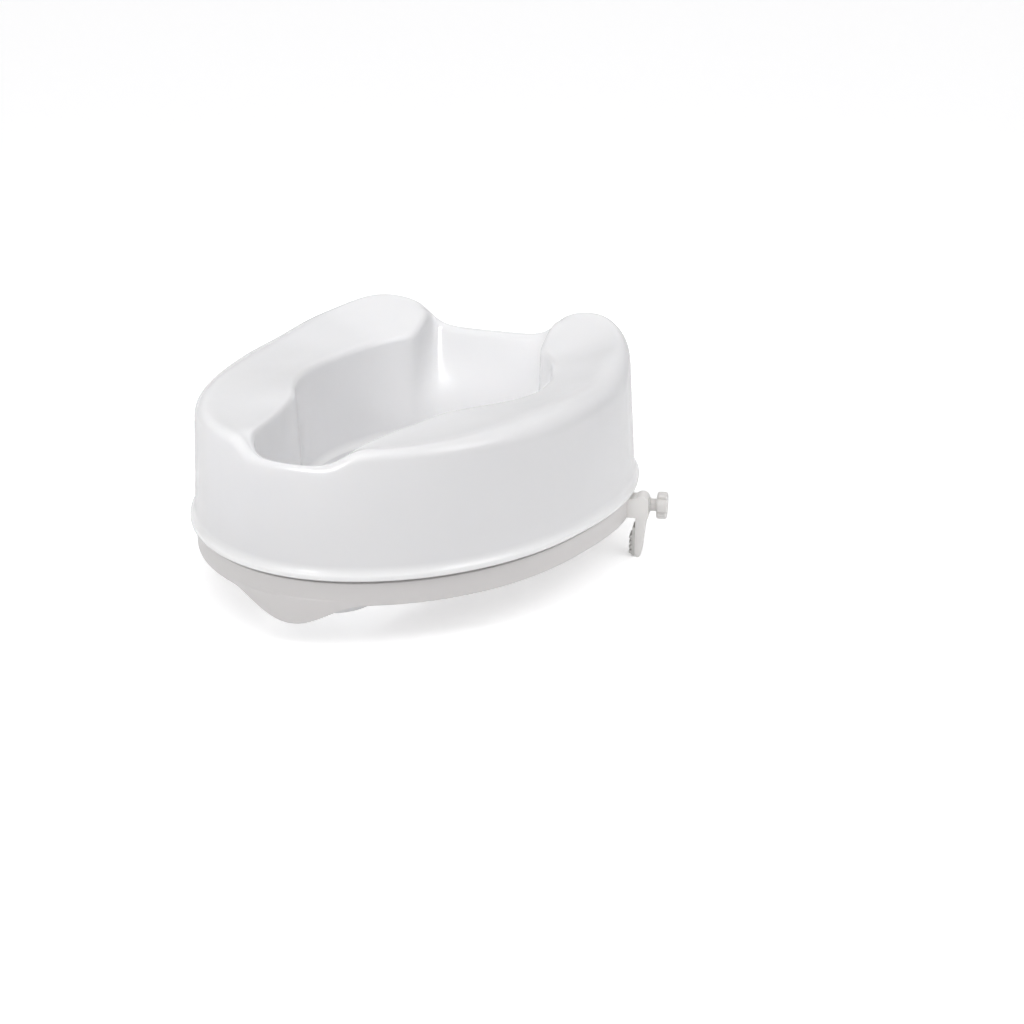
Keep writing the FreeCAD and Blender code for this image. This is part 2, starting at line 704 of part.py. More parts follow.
def make_grip(side):
    """Pad on the inner face of the leg, with teeth towards the bowl."""
    body = new_body("grip_pad_" + side, CLAMP_FRAMES[side])
    sketch = new_sketch(body, "gp_" + side + "_plate", "XZ_Plane")
    face, tip = "legLeft - padThick", "legLeft - padThick - toothDeep"
    pitch = sheet.toothPitch
    plain_top = 6.0                 # least height without teeth at the top
    corners = [("legLeft", "gripTop"), ("legLeft", "gripLow"), (face, "gripLow")]
    rise = 1.0
    while rise + pitch < sheet.gripTop - sheet.gripLow - plain_top:
        corners += [(face, "gripLow + %.3f" % rise),
                    (tip, "gripLow + %.3f" % (rise + pitch * 0.42)),
                    (tip, "gripLow + %.3f" % (rise + pitch * 0.58))]
        rise += pitch
    corners += [(face, "gripLow + %.3f" % rise), (face, "gripTop")]
    polygon(sketch, corners)
    pad(body, sketch, "gripHalf + gripHalf", midplane=True)


def make_screw(side):
    """Shaft with a clip groove and a coarse helical thread."""
    body = new_body("clamp_screw_" + side, CLAMP_FRAMES[side])
    prefix = "cs_" + side
    sketch = new_sketch(body, prefix + "_shaft", "XZ_Plane")
    polygon(sketch, [
        ("screwIn", 0.0), ("screwIn", "shaftRadius - 1.0"), ("screwIn + 1.0", "shaftRadius"),
        ("grooveIn", "shaftRadius"), ("grooveIn", "grooveRadius"),
        ("grooveOut", "grooveRadius"), ("grooveOut", "shaftRadius"),
        ("screwOut - 0.6", "shaftRadius"), ("screwOut", "shaftRadius - 0.6"),
        ("screwOut", 0.0)])
    shaft = body.newObject("PartDesign::Revolution", prefix + "_rev")
    shaft.Profile = sketch
    shaft.ReferenceAxis = (sketch, ["H_Axis"])
    shaft.Angle = 360.0
    doc.recompute()
    before = body.Shape.Volume
    sketch = new_sketch(body, prefix + "_ridge", "XZ_Plane")
    polygon(sketch, [
        ("screwIn + 1.6", "shaftRadius - 0.4"), ("screwIn + 4.0", "shaftRadius - 0.4"),
        ("screwIn + 3.3", "threadRadius"), ("screwIn + 2.3", "threadRadius")])
    thread = body.newObject("PartDesign::AdditiveHelix", prefix + "_thread")
    thread.Profile = sketch
    thread.ReferenceAxis = (sketch, ["H_Axis"])
    thread.Mode = 0                 # pitch and height
    thread.Pitch = evaluate("threadPitch")
    bind(thread, "Pitch", "threadPitch")
    thread.Height = evaluate("threadOut - screwIn - 5.0")
    thread.LeftHanded = False
    thread.Reversed = False
    doc.recompute()
    if body.Shape.Volume <= before + 10.0:
        raise RuntimeError("thread added nothing")
    cut_pin_hole(body, prefix)


def make_knob(side):
    """Hub and fluted disc on the outer end of the screw."""
    flutes = 6
    body = new_body("clamp_knob_" + side, CLAMP_FRAMES[side])
    prefix = "kn_" + side
    sketch = new_sketch(body, prefix + "_hub", "YZ_Plane", "hubIn")
    circle(sketch, 0.0, 0.0, "hubRadius")
    pad(body, sketch, "knobIn - hubIn + 1.0")
    sketch = new_sketch(body, prefix + "_disc", "YZ_Plane", "knobIn")
    circle(sketch, 0.0, 0.0, "knobRadius")
    pad(body, sketch, "knobOut - knobIn")
    sketch = new_sketch(body, prefix + "_flute", "YZ_Plane", "knobIn - 0.5")
    circle(sketch, 0.0, "lobeOffset", "lobeCut")
    flute = pocket(body, sketch, "knobOut - knobIn + 1.0", reverse=True)
    before = body.Shape.Volume
    pattern = body.newObject("PartDesign::PolarPattern", prefix + "_flutes")
    pattern.Originals = [flute]
    pattern.Axis = (sketch, ["N_Axis"])
    pattern.Angle = 360.0
    pattern.Occurrences = flutes
    body.Tip = pattern
    require_removal(body, before, pattern.Name)
    # blind bore for the shaft, open towards the housing
    sketch = new_sketch(body, prefix + "_bore", "YZ_Plane", "hubIn - 0.5")
    circle(sketch, 0.0, 0.0, "shaftRadius + 0.02")
    pocket(body, sketch, "screwOut - hubIn + 0.7", reverse=True)
    cut_pin_hole(body, prefix)


def make_ring(label, side, start, length, outer, inner):
    """Flat ring round the screw; returns its body and the prefix of its sketches."""
    body = new_body(label + "_" + side, CLAMP_FRAMES[side])
    prefix = label[:4] + "_" + side
    sketch = new_sketch(body, prefix + "_ring", "YZ_Plane", start)
    circle(sketch, 0.0, 0.0, outer)
    circle(sketch, 0.0, 0.0, inner)
    pad(body, sketch, length)
    return body, prefix


def make_washer(side):
    make_ring("clamp_washer", side, "washerIn", "washerThick",
              "washerRadius", "shaftRadius + 0.15")


def make_clip(side):
    """Ring in the screw's groove, with a gap at the top."""
    gap_half = 1.6
    body, prefix = make_ring("screw_clip", side, "grooveIn + 0.1", "grooveOut - grooveIn - 0.2",
                             "shaftRadius + 1.9", "grooveRadius + 0.05")
    sketch = new_sketch(body, prefix + "_gap", "YZ_Plane", "grooveIn + 0.1 - 0.5")
    polygon(sketch, [(-gap_half, 0.0), (gap_half, 0.0), (gap_half, 12.0), (-gap_half, 12.0)])
    pocket(body, sketch, 5.0, reverse=True)


def make_pin(side):
    """Pin through hub and screw, its ends just inside the hub."""
    pin = doc.addObject("Part::Cylinder", "knob_pin_" + side)
    pin.Label = "knob_pin_" + side
    pin.setExpression("Radius", "Sizes.pinRadius")
    pin.setExpression("Height", "2 * Sizes.hubRadius - 0.6")
    pin.Placement = CLAMP_FRAMES[side].multiply(
        Placement(V(sheet.pinAt, 0, -sheet.hubRadius + 0.3), Rotation()))
    NODES.append(pin)


def make_nut(side):
    body = new_body("captive_nut_" + side, CLAMP_FRAMES[side])
    sketch = new_sketch(body, "cn_" + side + "_block", "YZ_Plane", "nutIn")
    polygon(sketch, [("-nutHalf", "nutLow"), ("nutHalf", "nutLow"),
                     ("nutHalf", "nutTop"), ("-nutHalf", "nutTop")])
    circle(sketch, 0.0, 0.0, "nutBoreRadius")
    pad(body, sketch, "nutOut - nutIn")


def make_cover(side):
    """Plate over the channel, with four screw holes."""
    hole_radius = 1.6
    body = new_body("slide_cover_" + side, CLAMP_FRAMES[side])
    prefix = "sc_" + side
    sketch = new_sketch(body, prefix + "_plate", "XY_Plane", "coverLow")
    polygon(sketch, [("coverIn", "-coverHalf"), ("coverOut", "-coverHalf"),
                     ("coverOut", "coverHalf"), ("coverIn", "coverHalf")])
    pad(body, sketch, "coverThick")
    sketch = new_sketch(body, prefix + "_holes", "XY_Plane", "coverLow - 1.0")
    for x in ("coverScrewIn", "coverScrewOut"):
        for y in ("coverScrewHalf", "-coverScrewHalf"):
            circle(sketch, x, y, hole_radius)
    pocket(body, sketch, 8.0, reverse=True)


# ------------------------------------------------------------- fasteners
def cover_screw(x, y):
    """Slotted screw with a rounded head, in the clamp frame."""
    head_radius, head_high, head_round = 2.9, 1.8, 0.8
    slot_half, slot_reach = 0.4, 3.2
    stem_radius = 1.1
    seat_z = sheet.coverLow + sheet.coverThick + 0.02
    top_z = seat_z + head_high
    head = post(head_radius, seat_z, top_z, x, y)
    top_edges = [e for e in head.Edges
                 if abs(e.BoundBox.ZMin - top_z) < 1e-6 and abs(e.BoundBox.ZMax - top_z) < 1e-6]
    head = head.makeFillet(head_round, top_edges)
    slot = box(x - slot_reach, x + slot_reach, y - slot_half, y + slot_half,
               seat_z + 1.0, seat_z + 3.0)
    stem = post(stem_radius, seat_z - 12.5, seat_z + 0.5, x, y)
    return head.cut(slot).fuse(stem).removeSplitter().Solids[0]


def join_screw(x, y):
    """Cross-slotted screw, its head down in the base."""
    slot_half, slot_reach, slot_top = 0.45, 4.0, 1.7
    head = post(sheet.screwHead, 0.8, 2.95, x, y)
    for half_x, half_y in ((slot_reach, slot_half), (slot_half, slot_reach)):
        head = head.cut(box(x - half_x, x + half_x, y - half_y, y + half_y, 0.0, slot_top))
    stem = post(sheet.assemblyRadius, 2.5, 46.0, x, y)
    return head.fuse(stem).removeSplitter().Solids[0]


# ------------------------------------------------------------- rest pads
def make_rest_pad(name):
    corner_radius = 3.0
    half_long, half_wide = sheet.restLong / 2, sheet.restWide / 2
    body = new_body(name, rest_placement(name))
    sketch = new_sketch(body, name + "_out", "XY_Plane", "-restProud")
    polygon(sketch, [(-half_long, -half_wide), (half_long, -half_wide),
                     (half_long, half_wide), (-half_long, half_wide)])
    block = pad(body, sketch, "restDeep + restProud - 0.05")
    doc.recompute()
    upright = ["Edge%d" % k for k, edge in enumerate(body.Shape.Edges, 1)
               if edge.BoundBox.ZLength > 1.0]
    fillet = body.newObject("PartDesign::Fillet", name + "_round")
    fillet.Base = (block, upright)
    fillet.Radius = corner_radius
    doc.recompute()


# ----------------------------------------------------------------- build
make_seat_shell()
make_base_ring()
for side in SIDES:
    for make in (make_bracket, make_grip, make_screw, make_knob, make_washer,
                 make_clip, make_pin, make_nut, make_cover):
        make(side)
add_shape("slide_cover_screws", Part.makeCompound(
    [in_clamp(side, cover_screw(x, y)) for side in SIDES for x, y in COVER_SCREWS]))
add_shape("assembly_screws", Part.makeCompound([join_screw(x, y) for x, y in JOIN_SCREWS]))
for name in REST_PADS:
    make_rest_pad(name)

lift = Placement(UP * sheet.rimHeight, Rotation())
for node in NODES:
    node.Placement = lift.multiply(node.Placement)
doc.recompute()

# ------------------------------------------------------ check and export
faults = ["%s %s" % (item.Name, item.State) for item in doc.Objects
          if "Invalid" in item.State or "Error" in item.State]
for node in NODES:
    shape = node.Shape
    if shape.isNull() or not shape.isValid() or len(shape.Solids) < 1:
        faults.append("%s null or not valid" % node.Label)
if faults:
    raise RuntimeError("; ".join(faults))

for node in NODES:
    node.Shape.exportStep("parts/" + node.Label + ".step")
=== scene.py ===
"""A raised seat: a glossy shell on a base ring, with a screw clamp on each side.

X runs across the seat, the front faces -Y and Z is up. Sizes are in mm. Section
heights are measured from the underside of the base ring, RIM_HEIGHT above z = 0.
The shell, ring and knobs are built here; the other parts are finished CAD solids.
"""
import bpy, bmesh, math
from collections import namedtuple
from mathutils import Vector, Matrix


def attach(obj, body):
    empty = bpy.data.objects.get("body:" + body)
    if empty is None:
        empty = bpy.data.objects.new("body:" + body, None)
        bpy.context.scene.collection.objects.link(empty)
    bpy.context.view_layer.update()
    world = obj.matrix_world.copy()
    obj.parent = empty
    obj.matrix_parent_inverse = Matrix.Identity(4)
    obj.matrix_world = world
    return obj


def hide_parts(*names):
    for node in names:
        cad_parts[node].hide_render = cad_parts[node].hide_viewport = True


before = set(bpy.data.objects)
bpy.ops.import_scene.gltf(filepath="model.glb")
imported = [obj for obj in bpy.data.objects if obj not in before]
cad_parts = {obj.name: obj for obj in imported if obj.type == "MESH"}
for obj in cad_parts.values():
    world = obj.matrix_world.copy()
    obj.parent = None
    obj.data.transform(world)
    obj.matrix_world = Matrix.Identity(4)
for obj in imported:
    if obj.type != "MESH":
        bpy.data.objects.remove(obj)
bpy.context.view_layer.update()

MM = 0.001
SCENE = bpy.context.scene


# ------------------------------------------------------------ sizes, in mm
RIM_HEIGHT = 36.0

# Seat shell
FLANGE_WIDTH = 370.0
FLANGE_LENGTH = 409.0
FLANGE_BOTTOM = 21.3
FLANGE_THICK = 4.6
FLANGE_TOP = FLANGE_BOTTOM + FLANGE_THICK
WALL_INSET = 3.0            # outer wall, in from the flange outline
WALL_DRAFT = 0.065          # further inset per mm of height
SHELL_THICK = 3.2
SKIRT_BOTTOM = -15.0        # foot of the splash wall
BEND_HEIGHT = 60.0          # where the splash wall turns down
BEND_SHARE = 0.10           # how far the bend lies from the foot to the inner edge

# Base ring
BAND_HEIGHT = 18.5
BAND_INSET = 3.6
NECK_INSET = 7.5
RING_WALL = 2.9
FLOOR_THICK = 3.0
LIP_TOP = 28.0
HOLE_GAP = 0.9              # between the splash wall and the ring
APRON_DROP = 19.0
APRON_HALF = 57.0

# Recesses in the underside of the ring
PAD_LENGTH = 46.0
PAD_WIDTH = 9.0
PAD_RECESS = 1.5
PAD_GAP = 0.2
PADS = {                    # node: x, y, turn in degrees
    "rest_pad_front_left": (-96.0, -138.0, -48.0),
    "rest_pad_front_right": (96.0, -138.0, 48.0),
    "rest_pad_rear_left": (-120.0, 150.0, 40.0),
    "rest_pad_rear_right": (120.0, 150.0, -40.0),
}
ROUND_HOLE_RADIUS = 3.7
ROUND_HOLES = [(58.0, -170.0), (122.0, -98.0), (146.0, 0.0)]    # x, y; each also at -x
CUT_BELOW = 2.0             # round cutters start this far below the ring

# Clamps: each has its own frame, with local X pointing out along the screw
CLAMP_X = 184.5
CLAMP_Y = 76.4
CLAMP_TURN = 12.0           # degrees
SCREW_HEIGHT = 11.0
SCREW_OUT = 25.0
SHAFT_RADIUS = 4.0
SHAFT_GAP = 0.05
HUB_RADIUS = 5.5
HUB_IN = 13.1
KNOB_IN = 18.5
KNOB_OUT = 27.6
KNOB_RADIUS = 12.4
CLAMP_CUT_LOW = (-17.0, -9.0, -SCREW_HEIGHT - 8.0)
CLAMP_CUT_HIGH = (8.0, 9.0, 10.5)

# Flange outline in polar form about a point behind the origin: the radius is a
# sum of cosine harmonics, so the glossy wall has no flat spots.
OUTLINE_CENTRE_Y = 8.0
OUTLINE_HARMONICS = [198.415, -4.617, 11.239, 9.779, -5.126, 3.156, -0.945, 0.326, 0.518,
                     -0.686, 0.399]
OUTLINE_WIDTH = 371.96      # size of the outline before it is fitted to the flange
OUTLINE_LENGTH = 409.0

# One row per section of the right half, from the middle of the front to the
# middle of the back: angle on the outline (degrees), crest height, inner edge
# x, y, z, crest radius, inner edge radius, foot of the splash wall x, y.
STATION_ROWS = [
    (0, 107.5, 0, -187.5, 106, 13, 4.5, 0, -183),
    (2.97, 107.5, 11, -187, 106, 13, 4.5, 11, -182.6),
    (5.694, 107.3, 21, -185, 106, 13, 4.5, 20.5, -181),
    (8.453, 107.6, 30, -180.5, 106.4, 12.5, 4.5, 28.5, -177.5),
    (10.978, 110.2, 37.5, -175, 109.4, 11, 4.5, 35, -172.5),
    (13.253, 116.6, 43, -169.5, 115.6, 9.5, 4.5, 39.5, -166.5),
    (15.892, 119.6, 46, -161.5, 118.5, 8.5, 4.5, 42.5, -159.5),
    (19.225, 119.8, 47.2, -151, 118.6, 8.5, 4.5, 44.3, -150),
    (22.997, 120.2, 48.5, -138.5, 118.6, 8.5, 4.5, 45.8, -138),
    (27.324, 120.6, 51, -124, 118.5, 9, 4.5, 48.2, -124),
    (32.097, 121, 54.5, -108.5, 118.4, 9.5, 4.5, 51.5, -108.5),
    (36.928, 121.6, 58.5, -95, 118.3, 10.5, 4.5, 55.5, -95),
    (41.954, 122.3, 61, -82.5, 118.9, 12, 4.5, 58, -82.5),
    (47.137, 123.1, 64.3, -70.5, 119.4, 13.5, 4.5, 61.3, -71),
    (51.843, 124, 69.2, -60, 119.6, 15, 4.5, 66.2, -61),
    (56.482, 125, 76.2, -48.5, 119.4, 16.5, 4.5, 73.2, -50),
    (61.752, 126, 84, -36, 118.8, 18, 4.5, 81, -38),
    (66.967, 127, 91.5, -21.5, 117.8, 19.5, 4.5, 88.3, -23.5),
    (72.57, 128, 98, -5.5, 116.6, 20.5, 4.7, 94.8, -7),
    (78.472, 129, 103, 11, 115.4, 21.5, 5, 99.6, 10),
    (84.605, 129.8, 106, 27.5, 114.3, 22, 5, 102.6, 27),
    (90.942, 130.6, 106.8, 43.5, 114.1, 22.5, 5, 103.4, 43),
    (97.114, 131.5, 106.2, 59, 114.2, 23, 5, 102.8, 58.5),
    (102.791, 132.6, 104, 73.5, 114.7, 24, 5, 100.6, 72.5),
    (108.006, 135, 100.7, 87, 115.4, 25, 5, 97.3, 86),
    (113.164, 138, 96.6, 99.5, 116.2, 25, 5, 93.2, 98.5),
    (117.884, 140.3, 92, 111, 117, 21, 5, 88.6, 109.5),
    (122.33, 141.4, 88.5, 120.5, 117.6, 17, 5, 85, 118.5),
    (126.651, 142.4, 84, 129, 118.2, 14, 5, 80.6, 126),
    (130.718, 144.2, 77.5, 136, 119, 12, 5, 74.5, 132),
    (134.907, 147, 70.5, 141.5, 120, 11, 5.5, 69.5, 136.5),
    (138.703, 150.5, 64.5, 148, 121.3, 10, 6, 65.5, 140),
    (142.423, 153.6, 62.3, 156, 123, 9.5, 6.5, 63.6, 143),
    (146.134, 155, 62.2, 164, 126.5, 9, 7, 62.6, 146),
    (149.751, 154.3, 62.4, 171, 131, 8.5, 7.5, 61.8, 149.5),
    (153.011, 151.5, 62.8, 177, 135.5, 8, 7.5, 60.2, 153),
    (155.84, 149, 63.2, 182, 136.5, 8, 7, 57.6, 156),
    (158.147, 146, 62, 185.6, 131.5, 7.5, 6, 54, 158),
    (160.196, 139, 58.6, 186.8, 126.5, 7.5, 5.5, 49.8, 159.4),
    (162.26, 131, 53.8, 186.3, 123.3, 6.5, 5, 45.4, 160.4),
    (164.628, 126.5, 47.5, 185.4, 121.5, 6, 4.5, 40.5, 161.4),
    (167.437, 124, 39.5, 184.8, 120.8, 6, 4.5, 34, 162.4),
    (170.576, 123.6, 30, 184.5, 120.4, 6, 4.5, 26.5, 163.3),
    (173.746, 123.5, 20, 184.4, 120.2, 6, 4.5, 18, 163.9),
    (176.794, 123.4, 10, 184.3, 120.1, 6, 4.5, 9, 164.2),
    (180, 123.3, 0, 184.3, 120, 6, 4.5, 0, 164.3),
]
FOOT_BLUR = 13.0            # eases the foot of the splash wall along its length

Station = namedtuple("Station", "angle crest inner crest_radius inner_radius foot "
                                "inner_normal foot_normal")


# ---------------------------------------------------------------- stations
def outline_point(theta):
    """Flange outline: theta = 0 at the front, pi at the back, x > 0 between."""
    radius = sum(c * math.cos(k * theta) for k, c in enumerate(OUTLINE_HARMONICS))
    return (radius * math.sin(theta) * FLANGE_WIDTH / OUTLINE_WIDTH,
            (OUTLINE_CENTRE_Y - radius * math.cos(theta)) * FLANGE_LENGTH / OUTLINE_LENGTH)


def right_hand_normal(start, end):
    """Unit normal in plan, on the right of the way from start to end."""
    x, y = end[0] - start[0], end[1] - start[1]
    length = math.hypot(x, y)
    return (y / length, -x / length)


def outline_normal(theta):
    return right_hand_normal(outline_point(theta - 1e-3), outline_point(theta + 1e-3))


def path_normals(path):
    """Normals of a half path round the opening, pointing into the material."""
    middle = [right_hand_normal(path[i - 1], path[i + 1]) for i in range(1, len(path) - 1)]
    return [(0.0, -1.0)] + middle + [(0.0, 1.0)]


def smooth_column(column, odd):
    """1-2-1 smoothing; odd columns change sign at the symmetry plane."""
    column = list(column)
    sign = -1.0 if odd else 1.0
    padded = [sign * column[1]] + column + [sign * column[-2]]
    result = [(padded[i] + 2 * padded[i + 1] + padded[i + 2]) / 4.0
              for i in range(len(column))]
    if odd:
        result[0] = result[-1] = 0.0
    return result


def smooth_angles(angles):
    """Smooth the angles' difference from an even spread over the half turn."""
    last = len(angles) - 1
    even = [180.0 * i / last for i in range(last + 1)]
    difference = smooth_column([a - e for a, e in zip(angles, even)], odd=True)
    return [d + e for d, e in zip(difference, even)]


def blur_loop(points, positions, sigma):
    """Gaussian blur of a closed loop; positions are lengths along it, total last."""
    count, total = len(points), positions[-1]
    result = []
    for i in range(count):
        sum_weight = sum_x = sum_y = 0.0
        for j in range(count):
            distance = abs(positions[i] - positions[j])
            distance = min(distance, total - distance)
            if distance > 3.5 * sigma:
                continue
            before = positions[j] - positions[j - 1] if j else total - positions[count - 1]
            share = 0.5 * ((positions[j + 1] - positions[j]) + before)
            weight = math.exp(-0.5 * (distance / sigma) ** 2) * share
            sum_weight += weight
            sum_x += weight * points[j][0]
            sum_y += weight * points[j][1]
        result.append((sum_x / sum_weight, sum_y / sum_weight))
    return result


def ease_foot(half):
    """Ease the foot path, so corners of the splash wall fade out on the way down."""
    loop = half + [(-x, y) for (x, y) in half[-2:0:-1]]
    positions = [0.0]
    for i, (x, y) in enumerate(loop):
        next_x, next_y = loop[(i + 1) % len(loop)]
        positions.append(positions[-1] + math.hypot(next_x - x, next_y - y))
    once = blur_loop(loop, positions, FOOT_BLUR)
    twice = blur_loop(once, positions, FOOT_BLUR)
    # twice the first blur less the second keeps the loop from shrinking
    eased = [(2 * a[0] - b[0], 2 * a[1] - b[1]) for a, b in zip(once, twice)][:len(half)]
    eased[0] = (0.0, eased[0][1])
    eased[-1] = (0.0, eased[-1][1])
    return eased


def build_stations():
    columns = list(zip(*STATION_ROWS))
    odd_columns = (2, 7)        # x of the inner edge and of the foot
    angles = smooth_angles(columns[0])
    crest, x, y, z, crest_radius, inner_radius, foot_x, foot_y = [
        smooth_column(columns[k], k in odd_columns) for k in range(1, 9)]
    foot = ease_foot(list(zip(foot_x, foot_y)))
    return [Station(*values) for values in zip(
        angles, crest, zip(x, y, z), crest_radius, inner_radius, foot,
        path_normals(list(zip(x, y))), path_normals(foot))]


STATIONS = build_stations()


# ---------------------------------------------------------- seat section
def unit_between(start, end):
    step = [b - a for a, b in zip(start, end)]
    length = math.sqrt(sum(c * c for c in step))
    return [c / length for c in step]


def between(start, end, share):
    return tuple(a + share * (b - a) for a, b in zip(start, end))


def advance(point, direction, distance):
    return tuple(p + distance * d for p, d in zip(point, direction))


def shift(point, dx, dy, dz):
    return (point[0] + dx, point[1] + dy, point[2] + dz)


def corner_arc(corner, start_direction, start_leg, end_direction, end_leg):
    """Rounded corner as a function of degrees: 0 on the start leg, 90 on the end leg."""
    def at(degrees):
        start = start_leg * (1.0 - math.sin(math.radians(degrees)))
        end = end_leg * (1.0 - math.cos(math.radians(degrees)))
        return advance(advance(corner, start_direction, start), end_direction, end)
    return at


def seat_section(station):
    """Closed section of the shell: the seen side from flange to foot, then back inside."""
    theta = math.radians(station.angle)
    outline_x, outline_y = outline_point(theta)
    nx, ny = outline_normal(theta)
    thick = SHELL_THICK

    def rim(inset, z):
        return (outline_x - inset * nx, outline_y - inset * ny, z)

    def wall(z, depth=0.0):
        return rim(WALL_INSET + WALL_DRAFT * (z - FLANGE_BOTTOM) + depth, z)

    crest_z, crest_radius = station.crest, station.crest_radius
    crest, inner = wall(crest_z), station.inner
    foot = (*station.foot, SKIRT_BOTTOM)
    bend = (foot[0] + BEND_SHARE * (inner[0] - foot[0]),
            foot[1] + BEND_SHARE * (inner[1] - foot[1]), BEND_HEIGHT)

    # the top runs from crest to inner edge, slightly dished
    across = unit_between(crest, inner)
    top_width = math.dist(crest, inner)
    crest_leg = min(crest_radius, 0.52 * top_width)
    inner_leg = min(station.inner_radius, 0.36 * top_width)
    flat = top_width - crest_leg - inner_leg
    dish = min(1.2, 0.02 * top_width)

    def top(share, dz):
        return shift(advance(crest, across, crest_leg + share * flat), 0, 0, dz)

    crest_arc = corner_arc(crest, unit_between(crest, wall(crest_z - 10.0)), crest_radius,
                           across, crest_leg)
    inner_arc = corner_arc(inner, across, -inner_leg,
                           unit_between(inner, bend), station.inner_radius)

    # offsets into the material for the splash wall (foot) and the inner edge
    foot_dx, foot_dy = (c * thick for c in station.foot_normal)
    edge_dx, edge_dy = (c * thick for c in station.inner_normal)

    seen = [
        # flange: underside, outer edge and the fillet up to the wall
        rim(5.2, FLANGE_BOTTOM), rim(2.6, FLANGE_BOTTOM - 0.1), rim(-0.5, FLANGE_BOTTOM - 0.1),
        rim(-0.7, FLANGE_BOTTOM + FLANGE_THICK * 0.45),
        rim(-0.4, FLANGE_BOTTOM + FLANGE_THICK * 0.88),
        rim(0.55, FLANGE_TOP + 0.5), rim(1.9, FLANGE_TOP + 2.1), wall(FLANGE_TOP + 6.0),
        # outer wall
        wall(FLANGE_TOP + 20.0), wall(0.5 * (FLANGE_TOP + crest_z - crest_radius)),
        wall(crest_z - crest_radius - 9.0),
        # crest, top and inner edge
        *(crest_arc(degrees) for degrees in (0.0, 22.5, 45.0, 67.5, 90.0)),
        top(0.30, -dish), top(0.70, -dish),
        *(inner_arc(degrees) for degrees in (0.0, 22.5, 45.0, 67.5, 90.0)),
        # splash wall
        between(inner, bend, 0.55), bend,
        *(between(bend, foot, share) for share in (0.12, 0.5, 0.93)), foot,
    ]
    hidden = [
        # back of the splash wall, going up
        shift(foot, foot_dx, foot_dy, 0),
        *(shift(between(bend, foot, share), foot_dx, foot_dy, 0) for share in (0.93, 0.5, 0.12)),
        shift(bend, foot_dx, foot_dy, -0.5),
        shift(between(inner, bend, 0.55), (edge_dx + foot_dx) / 2, (edge_dy + foot_dy) / 2, -0.8),
        # under the inner edge, the top and the crest
        shift(inner_arc(90.0), edge_dx, edge_dy, -0.5 * thick),
        shift(inner_arc(45.0), edge_dx * 0.75, edge_dy * 0.75, -0.8 * thick),
        shift(inner_arc(0.0), 0, 0, -thick),
        top(0.5, -thick - dish),
        shift(crest_arc(90.0), 0, 0, -thick),
        *(shift(crest_arc(degrees), -side * thick * nx, -side * thick * ny, -down * thick)
          for degrees, side, down in ((67.5, 0.38, 0.92), (45.0, 0.71, 0.71), (22.5, 0.92, 0.38))),
        # back of the outer wall, going down
        *(wall(z, thick) for z in (crest_z - crest_radius - 0.5, 0.5 * (FLANGE_TOP + crest_z),
                                   FLANGE_TOP + 6.0, FLANGE_BOTTOM + 2.2, FLANGE_BOTTOM + 0.1)),
    ]
    return seen + hidden


# ------------------------------------------------------ base ring section
def apron_drop(x):
    """Depth of the apron that hangs from the ring near x = 0."""
    share = abs(x) / APRON_HALF
    if share >= 1.0:
        return 0.0
    return APRON_DROP * (0.5 + 0.5 * math.cos(math.pi * share)) ** 0.9


